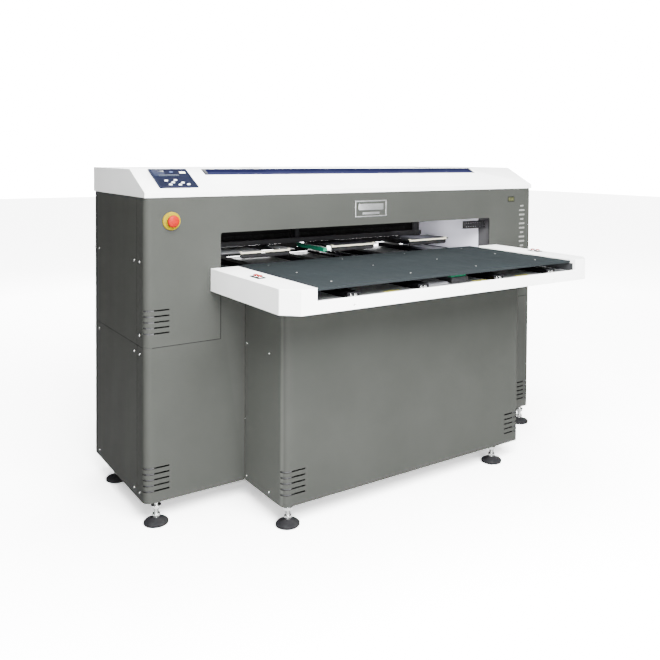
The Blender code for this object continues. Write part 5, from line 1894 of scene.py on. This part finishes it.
# ------------------------------------------------------------------------------- studio
@dataclass(frozen=True)
class SoftBox:
    """A rectangular soft light: where it stands, what it points at, its size and watts."""

    name: str
    spot: tuple[float, float, float]
    aim: tuple[float, float, float]
    size: tuple[float, float]
    power: float

    def build(self) -> None:
        """Hang the light, out of the camera's sight."""
        data = bpy.data.lights.new(self.name, "AREA")
        data.shape = "RECTANGLE"
        data.size, data.size_y = self.size
        data.energy = self.power
        light = bpy.data.objects.new(self.name, data)
        light.visible_camera = False
        light.location = self.spot
        direction = Vector(self.aim) - Vector(self.spot)
        light.rotation_euler = direction.to_track_quat("-Z", "Y").to_euler()
        bpy.context.scene.collection.objects.link(light)


@dataclass
class Studio:
    """Pale floor, soft lights and the camera."""

    eye: tuple[float, float, float] = (-1.7328, -2.4275, 1.2143)
    heading: float = 35.397
    tilt: float = 1.600
    roll: float = 0.434
    lens: float = 41.555
    shift: tuple[float, float] = (-0.0565, -0.2305)
    sensor: float = 36.0
    floor_size: float = 40.0
    floor_glow: tuple[float, float] = (0.5, 7.0)
    glow_reach: tuple[float, float] = (1.1, 4.5)
    floor_gain: float = 2.3
    dim_side: float = 0.22
    bright_side: float = 0.9
    backdrop: float = 24.0
    boxes: tuple[SoftBox, ...] = (
        SoftBox("key_box", (-0.9, -2.6, 2.8), (-0.1, 0, 0.7), (2.6, 2.0), 860),
        SoftBox("overhead_box", (0.3, 0.4, 3.8), (0.1, 0, 0.6), (3.2, 2.4), 300),
        SoftBox("low_front_box", (-0.9, -4.2, 1.0), (-0.3, 0, 0.4), (3.0, 1.2), 330),
        SoftBox("left_fill", (-0.95, -1.7, 0.25), (-0.5, -0.1, 0.35), (0.5, 0.3), 10),
        SoftBox("slot_glow", (0.36, 0.22, 0.932), (0.65, 0.22, 0.86), (0.20, 0.03), 0.7),
        SoftBox("rear_box", (1.2, 4.0, 3.0), (0, 0, 0.6), (3.5, 2.0), 300))

    def build(self) -> None:
        """Set the stage."""
        self.set_camera()
        self.set_floor()
        self.set_world()
        for box in self.boxes:
            box.build()

    def set_camera(self) -> None:
        """A view camera: level back, lens dropped to keep uprights upright."""
        data = bpy.data.cameras.new("view_camera")
        data.sensor_width = self.sensor
        data.lens = self.lens
        data.shift_x, data.shift_y = self.shift
        data.clip_end = 60
        camera = bpy.data.objects.new("view_camera", data)
        bpy.context.scene.collection.objects.link(camera)
        yaw, pitch, roll = (math.radians(a) for a in (self.heading, self.tilt, self.roll))
        level = Vector((math.sin(yaw), math.cos(yaw), 0))
        side = Vector((math.cos(yaw), -math.sin(yaw), 0))
        up = Vector((0, 0, 1))
        ahead = level * math.cos(pitch) - up * math.sin(pitch)
        above = up * math.cos(pitch) + level * math.sin(pitch)
        right = side * math.cos(roll) + above * math.sin(roll)
        top = above * math.cos(roll) - side * math.sin(roll)
        turn = Matrix((right, top, -ahead)).transposed().to_4x4()
        camera.matrix_world = Matrix.Translation(self.eye) @ turn
        bpy.context.scene.camera = camera

    def set_floor(self) -> None:
        """A large floor that is pale and slightly uneven in tone."""
        def slab(shape: bmesh.types.BMesh) -> None:
            add_slab(shape, rounded_outline(self.floor_size, self.floor_size, 4, 10), -0.02, 0.0,
                     0.004)

        mesh = shape_mesh("studio_floor", slab)
        floor = bpy.data.objects.new("studio_floor", mesh)
        bpy.context.scene.collection.objects.link(floor)
        graph = Graph("studio_floor_paint")
        path = graph.add("LightPath")
        body = graph.blend(graph.ramp(graph.noise(1.4, 3.0), 0.3, 0.7), (0.88, 0.88, 0.88),
                           (0.91, 0.91, 0.91))
        dim = graph.blend(path.outputs["Is Camera Ray"], (0.34, 0.34, 0.34), body)
        graph.join(dim, graph.shader.inputs["Base Color"])
        graph.shader.inputs["Roughness"].default_value = 0.6
        graph.shader.inputs["Specular IOR Level"].default_value = 0.1
        paper = graph.add("BsdfDiffuse")
        gain = graph.add("VectorMath", operation="SCALE")
        graph.join(body, gain.inputs[0])
        gain.inputs["Scale"].default_value = self.floor_gain
        graph.join(gain.outputs[0], paper.inputs["Color"])
        glow = graph.add("Emission")
        away = graph.add("VectorMath", operation="LENGTH")
        graph.join(graph.place(), away.inputs[0])
        rise = graph.ramp(away.outputs["Value"], *self.glow_reach, *self.floor_glow)
        graph.join(rise, glow.inputs["Strength"])
        lit = graph.add("AddShader")
        graph.join(paper.outputs[0], lit.inputs[0])
        graph.join(glow.outputs[0], lit.inputs[1])
        mix = graph.add("MixShader")
        graph.join(path.outputs["Is Camera Ray"], mix.inputs[0])
        graph.join(graph.shader.outputs[0], mix.inputs[1])
        graph.join(lit.outputs[0], mix.inputs[2])
        output = graph.tree.nodes["Material Output"]
        graph.join(mix.outputs[0], output.inputs["Surface"])
        mesh.materials.append(graph.material)

    def set_world(self) -> None:
        """White surroundings to look at, and dim ones that light the machine from its right."""
        world = bpy.data.worlds.new("studio_world")
        world.use_nodes = True
        tree = world.node_tree
        tree.nodes.clear()
        output = tree.nodes.new("ShaderNodeOutputWorld")
        mix = tree.nodes.new("ShaderNodeMixShader")
        seen = tree.nodes.new("ShaderNodeBackground")
        seen.inputs["Strength"].default_value = self.backdrop
        lit = tree.nodes.new("ShaderNodeBackground")
        coordinates = tree.nodes.new("ShaderNodeTexCoord")
        lean = tree.nodes.new("ShaderNodeVectorMath")
        lean.operation = "DOT_PRODUCT"
        lean.inputs[1].default_value = (0.85, -0.25, 0.45)
        reach = tree.nodes.new("ShaderNodeMapRange")
        reach.inputs["From Min"].default_value = -0.5
        reach.inputs["From Max"].default_value = 0.8
        reach.inputs["To Min"].default_value = self.dim_side
        reach.inputs["To Max"].default_value = self.bright_side
        path = tree.nodes.new("ShaderNodeLightPath")
        tree.links.new(coordinates.outputs["Generated"], lean.inputs[0])
        tree.links.new(lean.outputs["Value"], reach.inputs["Value"])
        tree.links.new(reach.outputs["Result"], lit.inputs["Strength"])
        tree.links.new(path.outputs["Is Camera Ray"], mix.inputs[0])
        tree.links.new(lit.outputs[0], mix.inputs[1])
        tree.links.new(seen.outputs[0], mix.inputs[2])
        tree.links.new(mix.outputs[0], output.inputs["Surface"])
        bpy.context.scene.world = world


def main() -> None:
    """Build the machine's looks in order."""
    logging.basicConfig(level=logging.INFO, format="%(name)s: %(message)s")
    fitter = Fitter()
    for assembly in (Cabinet(), Cover(), LoadingTray(), PlatenTable(), Gantry(),
                     EmergencyStop(), LevellingFeet()):
        before = len(fitter.made)
        assembly.build(fitter)
        for name in fitter.made[before:]:
            LOG.info("%s: %s", type(assembly).__name__, name)
    Studio().build()


if __name__ == "__main__":
    main()
